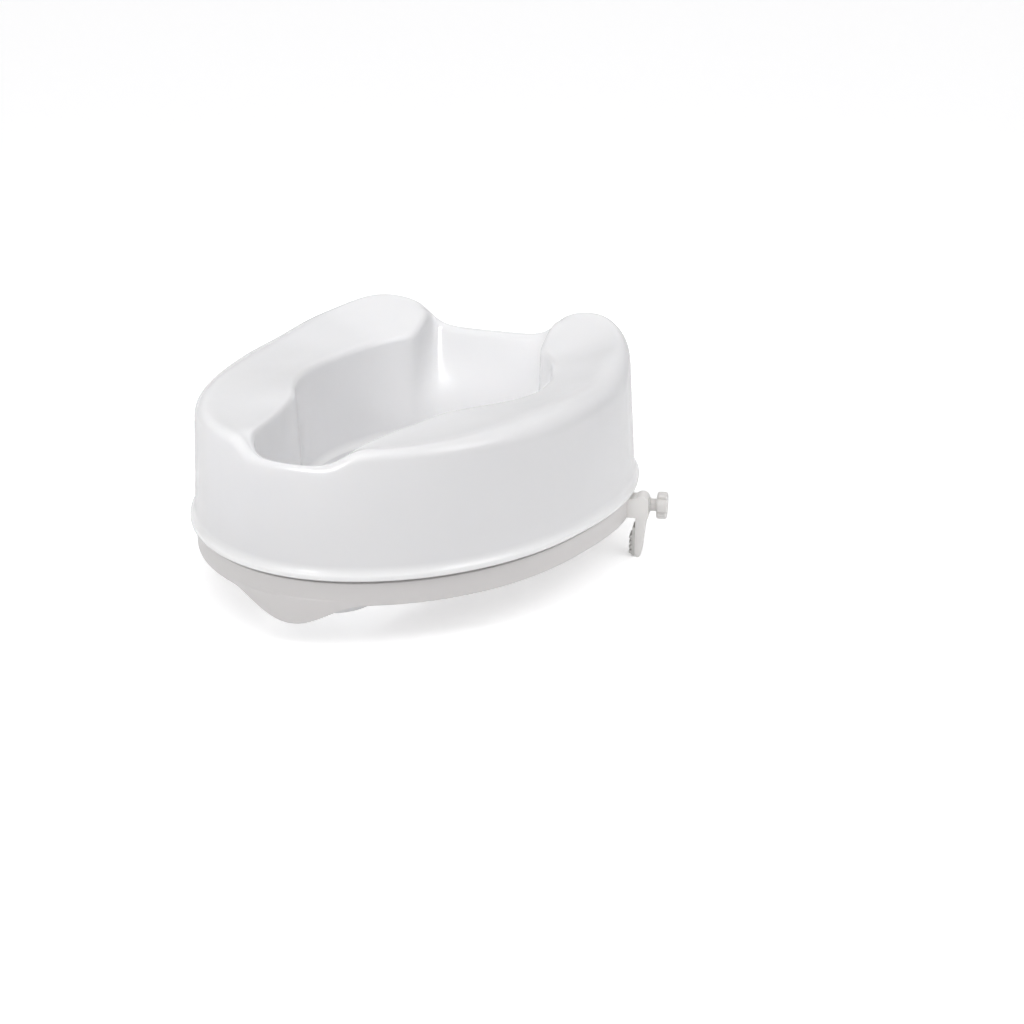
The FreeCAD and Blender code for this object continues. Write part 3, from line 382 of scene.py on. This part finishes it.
def base_section(station):
    """Closed section of the ring, from the outer neck round under it and back inside."""
    theta = math.radians(station.angle)
    outline_x, outline_y = outline_point(theta)
    nx, ny = outline_normal(theta)
    normal_x, normal_y = station.foot_normal
    foot_x, foot_y = station.foot
    # where the splash wall passes the lip, as a share of the way from foot to inner edge
    share = BEND_SHARE * (LIP_TOP - SKIRT_BOTTOM) / (BEND_HEIGHT - SKIRT_BOTTOM)
    hole_x = foot_x + share * (station.inner[0] - foot_x) + (SHELL_THICK + HOLE_GAP) * normal_x
    hole_y = foot_y + share * (station.inner[1] - foot_y) + (SHELL_THICK + HOLE_GAP) * normal_y

    def rim(inset, z):
        return (outline_x - inset * nx, outline_y - inset * ny, z)

    def hole(out, z):
        return (hole_x + out * normal_x, hole_y + out * normal_y, z)

    neck, band, top = NECK_INSET, BAND_INSET, BAND_HEIGHT
    inside = neck + RING_WALL
    hole_wall = 2.6
    floor_start, floor_end = rim(inside, 0.0), hole(hole_wall, 0.0)

    def floor(share, z):
        x, y, _ = between(floor_start, floor_end, share)
        return (x, y, z)

    drop = apron_drop(rim(band, 0)[0])
    depth = drop / APRON_DROP
    # the apron stands a little proud of the band
    apron = band - 0.8 * min(1.0, depth * 3.0)
    apron_step = band - 0.85 * (band - apron)
    return [
        # neck and shoulder
        rim(neck, LIP_TOP - 0.6), rim(neck, 24.0), rim(neck, top + 1.4), rim(neck - 0.1, top + 0.3),
        rim(neck - 0.6, top), rim(band + 1.3, top), rim(band + 0.35, top - 0.05),
        # band
        rim(band, top - 0.5), rim(band, top - 1.6), rim(band, 11.0), rim(band, 5.6), rim(band, 4.4),
        # apron, outside then inside
        rim(apron_step, 3.7), rim(apron, 2.9), rim(apron, 1.4 - 0.05 * drop),
        rim(apron, -0.45 * drop + 0.9), rim(apron, -drop + 1.1), rim(apron + 0.1, -drop + 0.35),
        rim(apron + 0.55, -drop), rim(band + 1.6, -drop - 0.05), rim(band + 2.7, -drop + 0.1 * depth),
        rim(band + 3.2, -drop + 0.6 * depth), rim(band + 3.3, -0.5 * drop),
        rim(band + 3.7, -0.35 * depth), rim(band + 5.2, 0.0),
        # underside of the floor
        floor(0.3, 0.0), floor(0.75, 0.0), hole(1.6, 0.0), hole(0.35, 0.05),
        # wall and lip round the hole
        hole(0.0, 0.5), hole(0.0, 3.0), hole(0.0, 12.0), hole(0.0, LIP_TOP - 5.2),
        hole(0.3, LIP_TOP - 4.2), hole(1.3, LIP_TOP - 4.0), hole(2.3, LIP_TOP - 4.2),
        hole(hole_wall, LIP_TOP - 5.2), hole(hole_wall, 14.0), hole(hole_wall, FLOOR_THICK + 1.2),
        # top of the floor
        hole(2.7, FLOOR_THICK + 0.2), hole(3.6, FLOOR_THICK),
        floor(0.75, FLOOR_THICK), floor(0.3, FLOOR_THICK), rim(inside + 1.0, FLOOR_THICK),
        # inside of the outer wall, up to its rounded top
        rim(inside + 0.1, FLOOR_THICK + 0.2), rim(inside, FLOOR_THICK + 1.2), rim(inside, 14.0),
        rim(inside, LIP_TOP - 1.0), rim(inside - 0.3, LIP_TOP - 0.15),
        rim(neck + 0.5 * RING_WALL, LIP_TOP), rim(neck + 0.25, LIP_TOP - 0.15),
    ]


# ------------------------------------------------------------ mesh helpers
def set_smooth(mesh):
    mesh.polygons.foreach_set("use_smooth", [True] * len(mesh.polygons))


def link_object(name, data):
    obj = bpy.data.objects.new(name, data)
    SCENE.collection.objects.link(obj)
    return obj


def new_object(name, verts, faces, material=None):
    mesh = bpy.data.meshes.new(name)
    mesh.from_pydata([tuple(v) for v in verts], [], faces)
    mesh.validate()
    mesh.update()
    set_smooth(mesh)
    if material is not None:
        mesh.materials.append(material)
    return link_object(name, mesh)


def face_outward(obj, merge=None):
    """Weld vertices closer than merge metres, then turn all normals outward."""
    bm = bmesh.new()
    bm.from_mesh(obj.data)
    if merge:
        bmesh.ops.remove_doubles(bm, verts=bm.verts, dist=merge)
    bmesh.ops.recalc_face_normals(bm, faces=bm.faces)
    bm.to_mesh(obj.data)
    bm.free()
    obj.data.update()


def apply_modifiers(obj):
    depsgraph = bpy.context.evaluated_depsgraph_get()
    depsgraph.update()
    mesh = bpy.data.meshes.new_from_object(
        obj.evaluated_get(depsgraph), preserve_all_data_layers=True, depsgraph=depsgraph)
    old = obj.data
    obj.modifiers.clear()
    obj.data = mesh
    bpy.data.meshes.remove(old)
    mesh.name = obj.name


def shade_by_angle(obj, degrees):
    """Sharp across edges steeper than the angle, smooth elsewhere."""
    mesh = obj.data
    set_smooth(mesh)
    bm = bmesh.new()
    bm.from_mesh(mesh)
    limit = math.radians(degrees)
    for edge in bm.edges:
        edge.smooth = not (len(edge.link_faces) == 2 and edge.calc_face_angle(0.0) > limit)
    bm.to_mesh(mesh)
    bm.free()
    mesh.update()


def grid_faces(rows, columns):
    """Quads of a grid that closes on itself both ways."""
    faces = []
    for i in range(rows):
        after = (i + 1) % rows
        for j in range(columns):
            k = (j + 1) % columns
            faces.append((i * columns + j, i * columns + k,
                          after * columns + k, after * columns + j))
    return faces


def moulding(name, half, material):
    """Closed ring from the right half's sections, mirrored across x = 0 and rounded."""
    ring = half + [[(-x, y, z) for (x, y, z) in section] for section in half[-2:0:-1]]
    verts = [(x * MM, y * MM, (z + RIM_HEIGHT) * MM) for section in ring for (x, y, z) in section]
    obj = new_object(name, verts, grid_faces(len(ring), len(ring[0])), material)
    face_outward(obj)
    rounding = obj.modifiers.new("round", "SUBSURF")
    rounding.subdivision_type = "CATMULL_CLARK"
    rounding.levels = rounding.render_levels = 2
    rounding.use_limit_surface = True
    apply_modifiers(obj)
    set_smooth(obj.data)
    return obj


def box_cutter(low, high, transform):
    corners = [(x, y, z) for x in (low[0], high[0]) for y in (low[1], high[1])
               for z in (low[2], high[2])]
    faces = [(0, 1, 3, 2), (4, 6, 7, 5), (0, 4, 5, 1), (2, 3, 7, 6), (0, 2, 6, 4), (1, 5, 7, 3)]
    obj = new_object("box_cutter", [transform @ (Vector(c) * MM) for c in corners], faces)
    face_outward(obj)
    return obj


def round_cutter(radius, low, high, centre):
    """Upright cylinder of 32 sides, between two heights in mm above its centre."""
    sides = 32
    up = Vector((0, 0, 1))
    first = up.orthogonal().normalized()
    second = up.cross(first)
    profile = [(0.0, low), (radius, low), (radius, high), (0.0, high)]
    verts = []
    for i in range(sides):
        angle = 2 * math.pi * i / sides
        outward = math.cos(angle) * first + math.sin(angle) * second
        verts += [centre + outward * (r * MM) + up * (z * MM) for r, z in profile]
    faces = [(a, d, c, b) for a, b, c, d in grid_faces(sides, len(profile))]
    obj = new_object("round_cutter", verts, faces)
    face_outward(obj, merge=1e-6)
    return obj


def cut(obj, cutter):
    modifier = obj.modifiers.new("cut", "BOOLEAN")
    modifier.operation = "DIFFERENCE"
    modifier.object = cutter
    modifier.solver = "EXACT"
    apply_modifiers(obj)
    bpy.data.objects.remove(cutter)


# --------------------------------------------------------------- materials
class Nodes:
    """Emptied node tree of a material or world. Inputs take a value or a socket."""

    def __init__(self, owner):
        owner.use_nodes = True
        self.tree = owner.node_tree
        self.tree.nodes.clear()

    def feed(self, node, inputs):
        for key, value in inputs.items():
            if isinstance(value, bpy.types.NodeSocket):
                self.tree.links.new(value, node.inputs[key])
            else:
                node.inputs[key].default_value = value

    def add(self, kind, inputs=None, **settings):
        """Add a node; settings go first, as they choose which inputs it has."""
        node = self.tree.nodes.new("ShaderNode" + kind)
        for key, value in settings.items():
            setattr(node, key, value)
        self.feed(node, inputs or {})
        return node

    def coordinates(self, kind="Object"):
        return self.add("TexCoord").outputs[kind]

    def noise(self, vector, scale, detail, roughness=0.5):
        return self.add("TexNoise", {"Vector": vector, "Scale": scale, "Detail": detail,
                                     "Roughness": roughness}).outputs["Fac"]

    def remap(self, value, source=(0.0, 1.0), target=(0.0, 1.0)):
        return self.add("MapRange", {
            "Value": value, "From Min": source[0], "From Max": source[1],
            "To Min": target[0], "To Max": target[1]}).outputs["Result"]

    def mix(self, factor, first, second):
        return self.add("Mix", {"Factor": factor, "A": first, "B": second},
                        data_type="RGBA").outputs["Result"]

    def math(self, operation, first, second, clamp=False):
        return self.add("Math", {0: first, 1: second},
                        operation=operation, use_clamp=clamp).outputs["Value"]

    def bump(self, height, strength, distance, under=None):
        inputs = {"Height": height, "Strength": strength, "Distance": distance}
        if under is not None:
            inputs["Normal"] = under
        return self.add("Bump", inputs).outputs["Normal"]


def new_material(name):
    material = bpy.data.materials.new(name)
    nodes = Nodes(material)
    output = nodes.add("OutputMaterial")
    principled = nodes.add("BsdfPrincipled")
    nodes.feed(output, {"Surface": principled.outputs["BSDF"]})
    return material, nodes, principled


def edge_mask(nodes, geometry, by_curvature, edge_wear_and_highlight):
    """Lighter convex edges: from mesh curvature, a painted highlight (used on the seat); from a
    bevelled normal, worn edges.
    """
    if by_curvature:
        return nodes.remap(geometry["Pointiness"], source=(0.508, 0.575), target=(0.0, edge_wear_and_highlight))
    bevel = nodes.add("Bevel", {"Radius": 0.0012}, samples=4)
    agreement = nodes.add("VectorMath", {0: bevel.outputs["Normal"], 1: geometry["Normal"]},
                          operation="DOT_PRODUCT")
    return nodes.remap(agreement.outputs["Value"], source=(0.995, 0.90), target=(0.0, edge_wear_and_highlight))


def dust_and_shade_mask(nodes, geometry, by_curvature, occlusion_dust_and_shade, dirt_and_shade):
    """Darker corners and creases, dustier and with painted shade: from mesh curvature or from
    occlusion.
    """
    if by_curvature:
        return nodes.remap(geometry["Pointiness"], source=(0.485, 0.42), target=(0.0, dirt_and_shade))
    if occlusion_dust_and_shade:
        occlusion = nodes.add("AmbientOcclusion", {"Distance": 0.006}, samples=4)
        return nodes.remap(occlusion.outputs["AO"], source=(0.75, 0.25), target=(0.0, dirt_and_shade))
    return nodes.remap(0.0, target=(0.0, dirt_and_shade))


def height_band_mask(nodes, coords, band):
    """Mask that fades in between the first two heights and out between the last two."""
    z = nodes.add("SeparateXYZ", {0: coords}).outputs["Z"]
    rising = nodes.remap(z, source=(band[0] * MM, band[1] * MM))
    falling = nodes.remap(z, source=(band[3] * MM, band[2] * MM))
    return nodes.math("MULTIPLY", rising, falling)


def uneven_gloss(nodes, coords, roughness, rub):
    """Roughness with cloudy handling marks plus hairline rub."""
    marks = nodes.noise(coords, scale=22.0, detail=6.0, roughness=0.62)
    marks = nodes.remap(marks, source=(0.32, 0.7), target=roughness)
    stretched = nodes.add("Mapping", {"Vector": coords, "Scale": (900.0, 34.0, 90.0),
                                      "Rotation": (0.3, 0.2, 0.7)}).outputs["Vector"]
    hairlines = nodes.noise(stretched, scale=1.0, detail=2.0)
    hairlines = nodes.remap(hairlines, source=(0.66, 0.8), target=(0.0, rub))
    return nodes.math("ADD", marks, hairlines, clamp=True)


def plastic(name, pale, dark, *, roughness, grain, coat, edge_wear_and_highlight, grain_scale=900.0,
            peel_scale=55.0, peel=0.05, scatter=0.08, edge_wear_and_highlight_colour=(0.98, 0.98, 0.98),
            dirt_and_shade=0.06, rub=0.06, by_curvature=False, occlusion_dust_and_shade=True, painted_highlight_band=None):
    """Moulded plastic: cloudy colour, orange peel, fine grain, uneven gloss,
    lighter convex edges (worn, and on the seat a painted highlight on crests and lips)
    and darker corners and creases (dustier, with painted shade). The highlight band gives four
    heights in mm for height_band_mask: a painted highlight on the seat's flange bead."""
    material, nodes, principled = new_material(name)
    coords = nodes.coordinates()
    geometry = nodes.add("NewGeometry").outputs
    wear_and_highlight_rgba = (*edge_wear_and_highlight_colour, 1)

    clouds = nodes.noise(coords, scale=6.0, detail=3.0, roughness=0.55)
    colour = nodes.mix(nodes.remap(clouds, source=(0.3, 0.62)), (*dark, 1), (*pale, 1))
    patches = nodes.remap(nodes.noise(coords, scale=70.0, detail=4.0),
                          source=(0.1, 0.42) if by_curvature else (0.42, 0.6))
    edges = edge_mask(nodes, geometry, by_curvature, edge_wear_and_highlight)
    # convex edges lightened: worn edges, and on the seat a painted highlight along crests and lips
    colour = nodes.mix(nodes.math("MULTIPLY", edges, patches), colour, wear_and_highlight_rgba)
    # painted highlight: a lighter band along the seat's flange bead
    if painted_highlight_band:
        colour = nodes.mix(height_band_mask(nodes, coords, painted_highlight_band), colour, wear_and_highlight_rgba)
    # corners and creases darkened to a brownish grey: dustier, and painted shade
    dust_and_shade_colour = (dark[0] * 0.72, dark[1] * 0.70, dark[2] * 0.66, 1)
    dust_and_shade = dust_and_shade_mask(nodes, geometry, by_curvature, occlusion_dust_and_shade, dirt_and_shade)
    colour = nodes.mix(dust_and_shade, colour, dust_and_shade_colour)

    peel_height = nodes.noise(coords, scale=peel_scale, detail=2.0)
    peel_normal = nodes.bump(peel_height, strength=peel, distance=0.001)
    grain_height = nodes.noise(coords, scale=grain_scale, detail=3.0)
    nodes.feed(principled, {
        "Base Color": colour,
        "Roughness": uneven_gloss(nodes, coords, roughness, rub),
        "Normal": nodes.bump(grain_height, strength=grain, distance=0.0004, under=peel_normal),
        "IOR": 1.5,
        "Specular IOR Level": 0.5,
        "Coat Weight": coat,
        "Coat Roughness": 0.08,
        "Subsurface Weight": scatter,
        "Subsurface Radius": (0.004, 0.0035, 0.003),
        "Subsurface Scale": 1.0,
    })
    return material


def steel(name, colour):
    """Metal with fine streaks across local Z."""
    material, nodes, principled = new_material(name)
    stretched = nodes.add("Mapping", {"Vector": nodes.coordinates(),
                                      "Scale": (60.0, 60.0, 1500.0)}).outputs["Vector"]
    streaks = nodes.noise(stretched, scale=1.0, detail=4.0)
    darker = (*[c * 0.8 for c in colour], 1)
    nodes.feed(principled, {
        "Roughness": nodes.remap(streaks, target=(0.22, 0.4)),
        "Base Color": nodes.mix(streaks, darker, (*colour, 1)),
        "Normal": nodes.bump(streaks, strength=0.08, distance=0.0003),
        "Metallic": 1.0,
    })
    return material


def rubber(name, pale, dark):
    """Matt elastomer with a fine cellular grain."""
    material, nodes, principled = new_material(name)
    coords = nodes.coordinates()
    clouds = nodes.noise(coords, scale=60.0, detail=5.0)
    cells = nodes.add("TexVoronoi", {"Vector": coords, "Scale": 1400.0}).outputs["Distance"]
    nodes.feed(principled, {
        "Base Color": nodes.mix(clouds, (*dark, 1), (*pale, 1)),
        "Roughness": nodes.remap(clouds, target=(0.55, 0.75)),
        "Normal": nodes.bump(cells, strength=0.25, distance=0.0003),
        "Specular IOR Level": 0.35,
    })
    return material


def floor_material():
    """Pale floor that glows more to the camera than it lights the object."""
    material, nodes, principled = new_material("pale_floor")
    camera_ray = nodes.add("LightPath").outputs["Is Camera Ray"]
    nodes.feed(principled, {
        "Base Color": (0.90, 0.90, 0.905, 1),
        "Emission Color": (1, 1, 1, 1),
        "Emission Strength": nodes.remap(camera_ray, target=(0.05, 0.42)),
        "Roughness": 0.85,
        "Specular IOR Level": 0.1,
    })
    return material


# Materials by the slot they fill
MATERIALS = {
    # seat: the lightened convex edges are a painted highlight on crests and lips, and the height band
    # is a painted highlight on the flange bead
    "seat_plastic": plastic(
        "seat_gloss_white", (0.83, 0.828, 0.838), (0.80, 0.80, 0.814), roughness=(0.15, 0.22),
        peel_scale=38.0, peel=0.035, grain=0.012, coat=0.35, scatter=0.06, edge_wear_and_highlight=0.8,
        edge_wear_and_highlight_colour=(0.97, 0.97, 0.972), dirt_and_shade=0.10, rub=0.04, by_curvature=True,
        painted_highlight_band=(RIM_HEIGHT + FLANGE_BOTTOM, 58.6, 61.5, 68.5)),
    # base: darker than the seat's white, as painted shade on the band beneath the flange
    "base_plastic": plastic(
        "base_white_painted_shade", (0.735, 0.715, 0.708), (0.705, 0.686, 0.68), roughness=(0.30, 0.38),
        peel_scale=48.0, peel=0.04, grain=0.015, coat=0.2, scatter=0.05, edge_wear_and_highlight=0.3,
        edge_wear_and_highlight_colour=(0.84, 0.83, 0.83), occlusion_dust_and_shade=False),
    # clamp, knob and screw: occlusion darkens corners and the undersides of ledges, as painted shade
    # with a brownish tint
    "clamp_plastic": plastic(
        "clamp_satin_white", (0.90, 0.885, 0.868), (0.865, 0.85, 0.834), roughness=(0.38, 0.5),
        peel_scale=120.0, grain=0.06, grain_scale=1800.0, coat=0.0, scatter=0.05, edge_wear_and_highlight=0.35,
        edge_wear_and_highlight_colour=(0.96, 0.955, 0.95), dirt_and_shade=0.45),
    "knob_plastic": plastic(
        "knob_satin_white", (0.75, 0.735, 0.72), (0.715, 0.70, 0.686), roughness=(0.34, 0.46),
        peel_scale=140.0, grain=0.08, grain_scale=2200.0, coat=0.0, scatter=0.06, edge_wear_and_highlight=0.35,
        edge_wear_and_highlight_colour=(0.95, 0.945, 0.94), dirt_and_shade=0.4),
    "screw_plastic": plastic(
        "screw_acetal", (0.76, 0.75, 0.735), (0.72, 0.71, 0.695), roughness=(0.3, 0.4),
        grain=0.05, grain_scale=2000.0, coat=0.0, edge_wear_and_highlight=0.2, dirt_and_shade=0.3),
    "grip_rubber": rubber("grip_elastomer", (0.66, 0.655, 0.635), (0.60, 0.595, 0.575)),
    "pad_rubber": rubber("pad_elastomer", (0.62, 0.62, 0.62), (0.56, 0.56, 0.565)),
    "fastener_steel": steel("fastener_steel", (0.62, 0.62, 0.61)),
}


# ------------------------------------------------------------------- parts
def place(obj, body, slot, node):
    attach(obj, body)
    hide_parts(node)


def cad_part(node, body, slot, bevel=0.0, segments=1):
    """Finished copy of a CAD solid: facets merged, edges rounded by bevel mm."""
    name = node + "_part"
    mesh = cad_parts[node].data.copy()
    mesh.name = name
    obj = link_object(name, mesh)
    mesh.materials.clear()
    mesh.materials.append(MATERIALS[slot])
    if "custom_normal" in mesh.attributes:
        mesh.attributes.remove(mesh.attributes["custom_normal"])
    bm = bmesh.new()
    bm.from_mesh(mesh)
    bmesh.ops.remove_doubles(bm, verts=bm.verts, dist=2e-6)
    bmesh.ops.dissolve_limit(bm, angle_limit=math.radians(1.2), verts=bm.verts, edges=bm.edges,
                             use_dissolve_boundaries=False)
    bmesh.ops.recalc_face_normals(bm, faces=bm.faces)
    for face in bm.faces:
        face.smooth = True
        face.material_index = 0
    bm.to_mesh(mesh)
    bm.free()
    if bevel > 0:
        modifier = obj.modifiers.new("edges", "BEVEL")
        modifier.width = bevel * MM
        modifier.segments = segments
        modifier.limit_method = "ANGLE"
        modifier.angle_limit = math.radians(28.0)
        modifier.use_clamp_overlap = True
        modifier.harden_normals = False
        modifier.miter_outer = "MITER_ARC"
        apply_modifiers(obj)
    shade_by_angle(obj, 32.0)
    place(obj, body, slot, node)


def turned_frame(x, y, z, degrees):
    """Frame at a point in mm above the ring's underside, turned about Z."""
    return (Matrix.Translation((x * MM, y * MM, (z + RIM_HEIGHT) * MM))
            @ Matrix.Rotation(math.radians(degrees), 4, "Z"))


CLAMP_FRAMES = {
    "right": turned_frame(CLAMP_X, CLAMP_Y, SCREW_HEIGHT, CLAMP_TURN),
    "left": turned_frame(-CLAMP_X, CLAMP_Y, SCREW_HEIGHT, 180.0 - CLAMP_TURN),
}


def build_seat():
    seat = moulding("seat_shell_moulding", [seat_section(s) for s in STATIONS],
                    MATERIALS["seat_plastic"])
    place(seat, "base", "seat_plastic", "seat_shell")


def build_base():
    material = MATERIALS["base_plastic"]
    base = moulding("base_ring_moulding", [base_section(s) for s in STATIONS], material)
    for transform in CLAMP_FRAMES.values():
        cut(base, box_cutter(CLAMP_CUT_LOW, CLAMP_CUT_HIGH, transform))
    half_length, half_width = PAD_LENGTH / 2 + PAD_GAP, PAD_WIDTH / 2 + PAD_GAP
    for x, y, turn in PADS.values():
        cut(base, box_cutter((-half_length, -half_width, -3.0),
                             (half_length, half_width, PAD_RECESS),
                             turned_frame(x, y, 0.0, turn)))
    for x, y in ROUND_HOLES:
        for side in (1, -1):
            centre = Vector((side * x * MM, y * MM, RIM_HEIGHT * MM))
            cut(base, round_cutter(ROUND_HOLE_RADIUS, -CUT_BELOW, FLOOR_THICK, centre))
    # the cuts may leave extra material slots
    base.data.materials.clear()
    base.data.materials.append(material)
    shade_by_angle(base, 40.0)
    place(base, "base", "base_plastic", "base_ring")


def lobed_radius(angle):
    """Knob outline: five lobes with narrow grooves between them."""
    lobe = 2 * math.pi / 5
    start = math.radians(-15.5)
    from_groove = (angle - start) % lobe
    from_groove = min(from_groove, lobe - from_groove)
    groove = math.exp(-(from_groove / math.radians(6.0)) ** 2)
    swell = 0.35 * math.cos(5 * (angle - start))
    return KNOB_RADIUS - 0.25 - (2.1 * groove + swell + 0.35)


def build_knob(side):
    """Five-lobed hand knob about the clamp's X axis, with a shallow dish in its end."""
    steps = 180
    centre = 0.001              # rings this small are welded to a point
    socket_end, socket_radius = SCREW_OUT + 0.1, SHAFT_RADIUS + SHAFT_GAP
    back, face = KNOB_IN, KNOB_OUT
    # local x, radius (or share of the lobed outline), whether lobed
    rings = [
        # hub
        (HUB_IN, HUB_RADIUS - 0.3, False), (HUB_IN + 0.25, HUB_RADIUS, False),
        (back - 0.5, HUB_RADIUS, False), (back - 0.1, HUB_RADIUS + 0.25, False),
        (back + 0.1, HUB_RADIUS + 1.0, False),
        # lobed grip
        (back + 0.1, 0.80, True), (back + 0.35, 0.90, True), (back + 1.0, 0.965, True),
        (back + 1.9, 0.995, True), (back + 3.2, 1.0, True), (face - 2.6, 1.0, True),
        (face - 1.4, 0.99, True), (face - 0.6, 0.965, True), (face - 0.15, 0.92, True),
        (face, 0.86, True), (face - 0.05, 0.78, True),
        # dish
        (face - 0.5, 7.6, False), (face - 0.9, 6.4, False), (face - 1.0, 3.0, False),
        (face - 1.0, centre, False),
        # socket for the shaft
        (socket_end, centre, False), (socket_end, socket_radius, False),
        (HUB_IN, socket_radius, False),
    ]
    verts = []
    for x, size, lobed in rings:
        for i in range(steps):
            angle = 2 * math.pi * i / steps
            radius = size * lobed_radius(angle) if lobed else size
            local = Vector((x, radius * math.cos(angle), radius * math.sin(angle))) * MM
            verts.append(CLAMP_FRAMES[side] @ local)
    knob = new_object("clamp_knob_" + side + "_part", verts, grid_faces(len(rings), steps),
                      MATERIALS["knob_plastic"])
    face_outward(knob, merge=3e-6)
    shade_by_angle(knob, 38.0)
    place(knob, "screw_" + side, "knob_plastic", "clamp_knob_" + side)


def build_clamp(side):
    bracket, screw = "bracket_" + side, "screw_" + side
    cad_part("clamp_bracket_" + side, bracket, "clamp_plastic", bevel=0.55, segments=3)
    cad_part("grip_pad_" + side, bracket, "grip_rubber", bevel=0.3, segments=2)
    build_knob(side)
    cad_part("clamp_screw_" + side, screw, "screw_plastic")
    cad_part("clamp_washer_" + side, screw, "screw_plastic", bevel=0.15, segments=2)
    cad_part("screw_clip_" + side, screw, "fastener_steel", bevel=0.12, segments=2)
    cad_part("knob_pin_" + side, screw, "fastener_steel", bevel=0.2, segments=2)
    cad_part("captive_nut_" + side, "base", "screw_plastic", bevel=0.4, segments=2)
    cad_part("slide_cover_" + side, "base", "clamp_plastic", bevel=0.4, segments=2)


build_seat()
build_base()
for side in CLAMP_FRAMES:
    build_clamp(side)
for pad in PADS:
    cad_part(pad, "base", "pad_rubber", bevel=0.4, segments=3)
for screws in ("slide_cover_screws", "assembly_screws"):
    cad_part(screws, "base", "fastener_steel", bevel=0.12, segments=1)

# ------------------------------------------- stage, in metres from here on
CAMERA_AZIMUTH = math.radians(22.78)
CAMERA_ELEVATION = math.radians(20.5)
CAMERA_PLACE = (0.5596, -1.0948, 0.4611 + RIM_HEIGHT * MM)
LIGHT_TARGET = (0.0, 0.0, 0.12)


def build_floor():
    """Flat floor that sweeps up into a back wall, turned to face the camera."""
    front, bend, radius, wall_top, half_width = -4.0, 3.0, 2.5, 6.0, 6.0
    rows, columns = 48, 8
    profile = []                # y, z from front to back
    for j in range(rows):
        share = j / (rows - 1)
        if share < 0.5:
            profile.append((front + (bend - front) * (share / 0.5), 0.0))
        else:
            angle = (share - 0.5) / 0.5 * math.pi / 2
            profile.append((bend + radius * math.sin(angle), radius * (1 - math.cos(angle))))
    profile.append((bend + radius, wall_top))
    turn = Matrix.Rotation(CAMERA_AZIMUTH, 4, "Z")
    verts = [turn @ Vector((-half_width + 2 * half_width * i / (columns - 1), y, z))
             for (y, z) in profile for i in range(columns)]
    faces = []
    for j in range(len(profile) - 1):
        for i in range(columns - 1):
            a = j * columns + i
            faces.append((a, a + 1, a + columns + 1, a + columns))
    new_object("studio_floor", verts, faces, floor_material())


def build_world():
    """Soft room, darker below; seen directly it is plain white."""
    world = bpy.data.worlds.new("soft_room")
    SCENE.world = world
    nodes = Nodes(world)
    output = nodes.add("OutputWorld")
    height = nodes.add("SeparateXYZ", {0: nodes.coordinates("Generated")}).outputs["Z"]
    ramp = nodes.add("ValToRGB", {"Fac": height})
    ramp.color_ramp.interpolation = "EASE"
    low, high = ramp.color_ramp.elements
    low.position, low.color = 0.0, (0.315, 0.31, 0.315, 1)
    high.position, high.color = 0.75, (0.93, 0.93, 0.932, 1)
    room = nodes.add("Background", {"Color": ramp.outputs["Color"], "Strength": 0.80})
    white = nodes.add("Background", {"Color": (1.0, 1.0, 1.0, 1), "Strength": 1.0})
    camera_ray = nodes.add("LightPath").outputs["Is Camera Ray"]
    mixed = nodes.add("MixShader", {0: camera_ray, 1: room.outputs["Background"],
                                    2: white.outputs["Background"]})
    nodes.feed(output, {"Surface": mixed.outputs["Shader"]})


def area_light(name, place, *, size, power, size_y=None, target=LIGHT_TARGET,
               colour=(1, 1, 1), spread=180.0):
    """Area light aimed at target; square unless size_y is given. Spread in degrees."""
    light = bpy.data.lights.new(name, "AREA")
    light.energy = power
    light.color = colour
    light.shape = "RECTANGLE" if size_y else "SQUARE"
    light.size = size
    if size_y:
        light.size_y = size_y
    light.spread = math.radians(spread)
    obj = link_object(name, light)
    obj.location = place
    obj.rotation_euler = (Vector(target) - Vector(place)).to_track_quat("-Z", "Y").to_euler()


def build_lights():
    area_light("key_top", (0.05, -0.8, 2.2), size=1.4, power=7.7, colour=(1.0, 0.997, 0.99))
    area_light("right_top", (1.25, -0.15, 1.5), size=0.9, power=5.2)
    area_light("left_fill", (-1.7, 0.2, 0.8), size=1.0, power=0.5)
    area_light("inner", (-0.24, -0.85, 0.72), target=(0.0, 0.17, 0.105), size=0.22, power=0.165,
               spread=34)
    area_light("strip_left", (-0.95, -1.45, 1.35), size=0.10, size_y=0.75, power=0.35)
    area_light("strip_front", (-0.35, -1.9, 0.95), size=0.55, size_y=0.12, power=0.8)
    area_light("window", (-0.28, -0.64, 0.393), target=(-0.02, 0.17, 0.1), size=0.03,
               size_y=0.05, power=0.09)
    area_light("clamp_kick", (1.0, -0.9, 0.14), target=(0.225, 0.085, 0.03), size=0.15,
               power=0.017, spread=16)


def build_camera():
    data = bpy.data.cameras.new("view")
    camera = link_object("view", data)
    data.lens = 52.73
    data.sensor_width = 36.0
    data.clip_start = 0.01
    data.clip_end = 50.0
    azimuth, elevation = CAMERA_AZIMUTH, CAMERA_ELEVATION
    back = Vector((math.sin(azimuth) * math.cos(elevation),
                   -math.cos(azimuth) * math.cos(elevation), math.sin(elevation)))
    right = Vector((math.cos(azimuth), math.sin(azimuth), 0.0))
    up = back.cross(right)
    rows = [(*row, 1.0 * p) for row, p in zip(zip(right, up, back), Vector(CAMERA_PLACE))]
    camera.matrix_world = Matrix((*rows, (0, 0, 0, 1)))
    SCENE.camera = camera


build_floor()
SCENE.view_settings.view_transform = "Standard"
SCENE.view_settings.look = "None"
SCENE.view_settings.exposure = 0.0
SCENE.view_settings.gamma = 1.0
build_world()
build_lights()
build_camera()

bpy.context.view_layer.update()
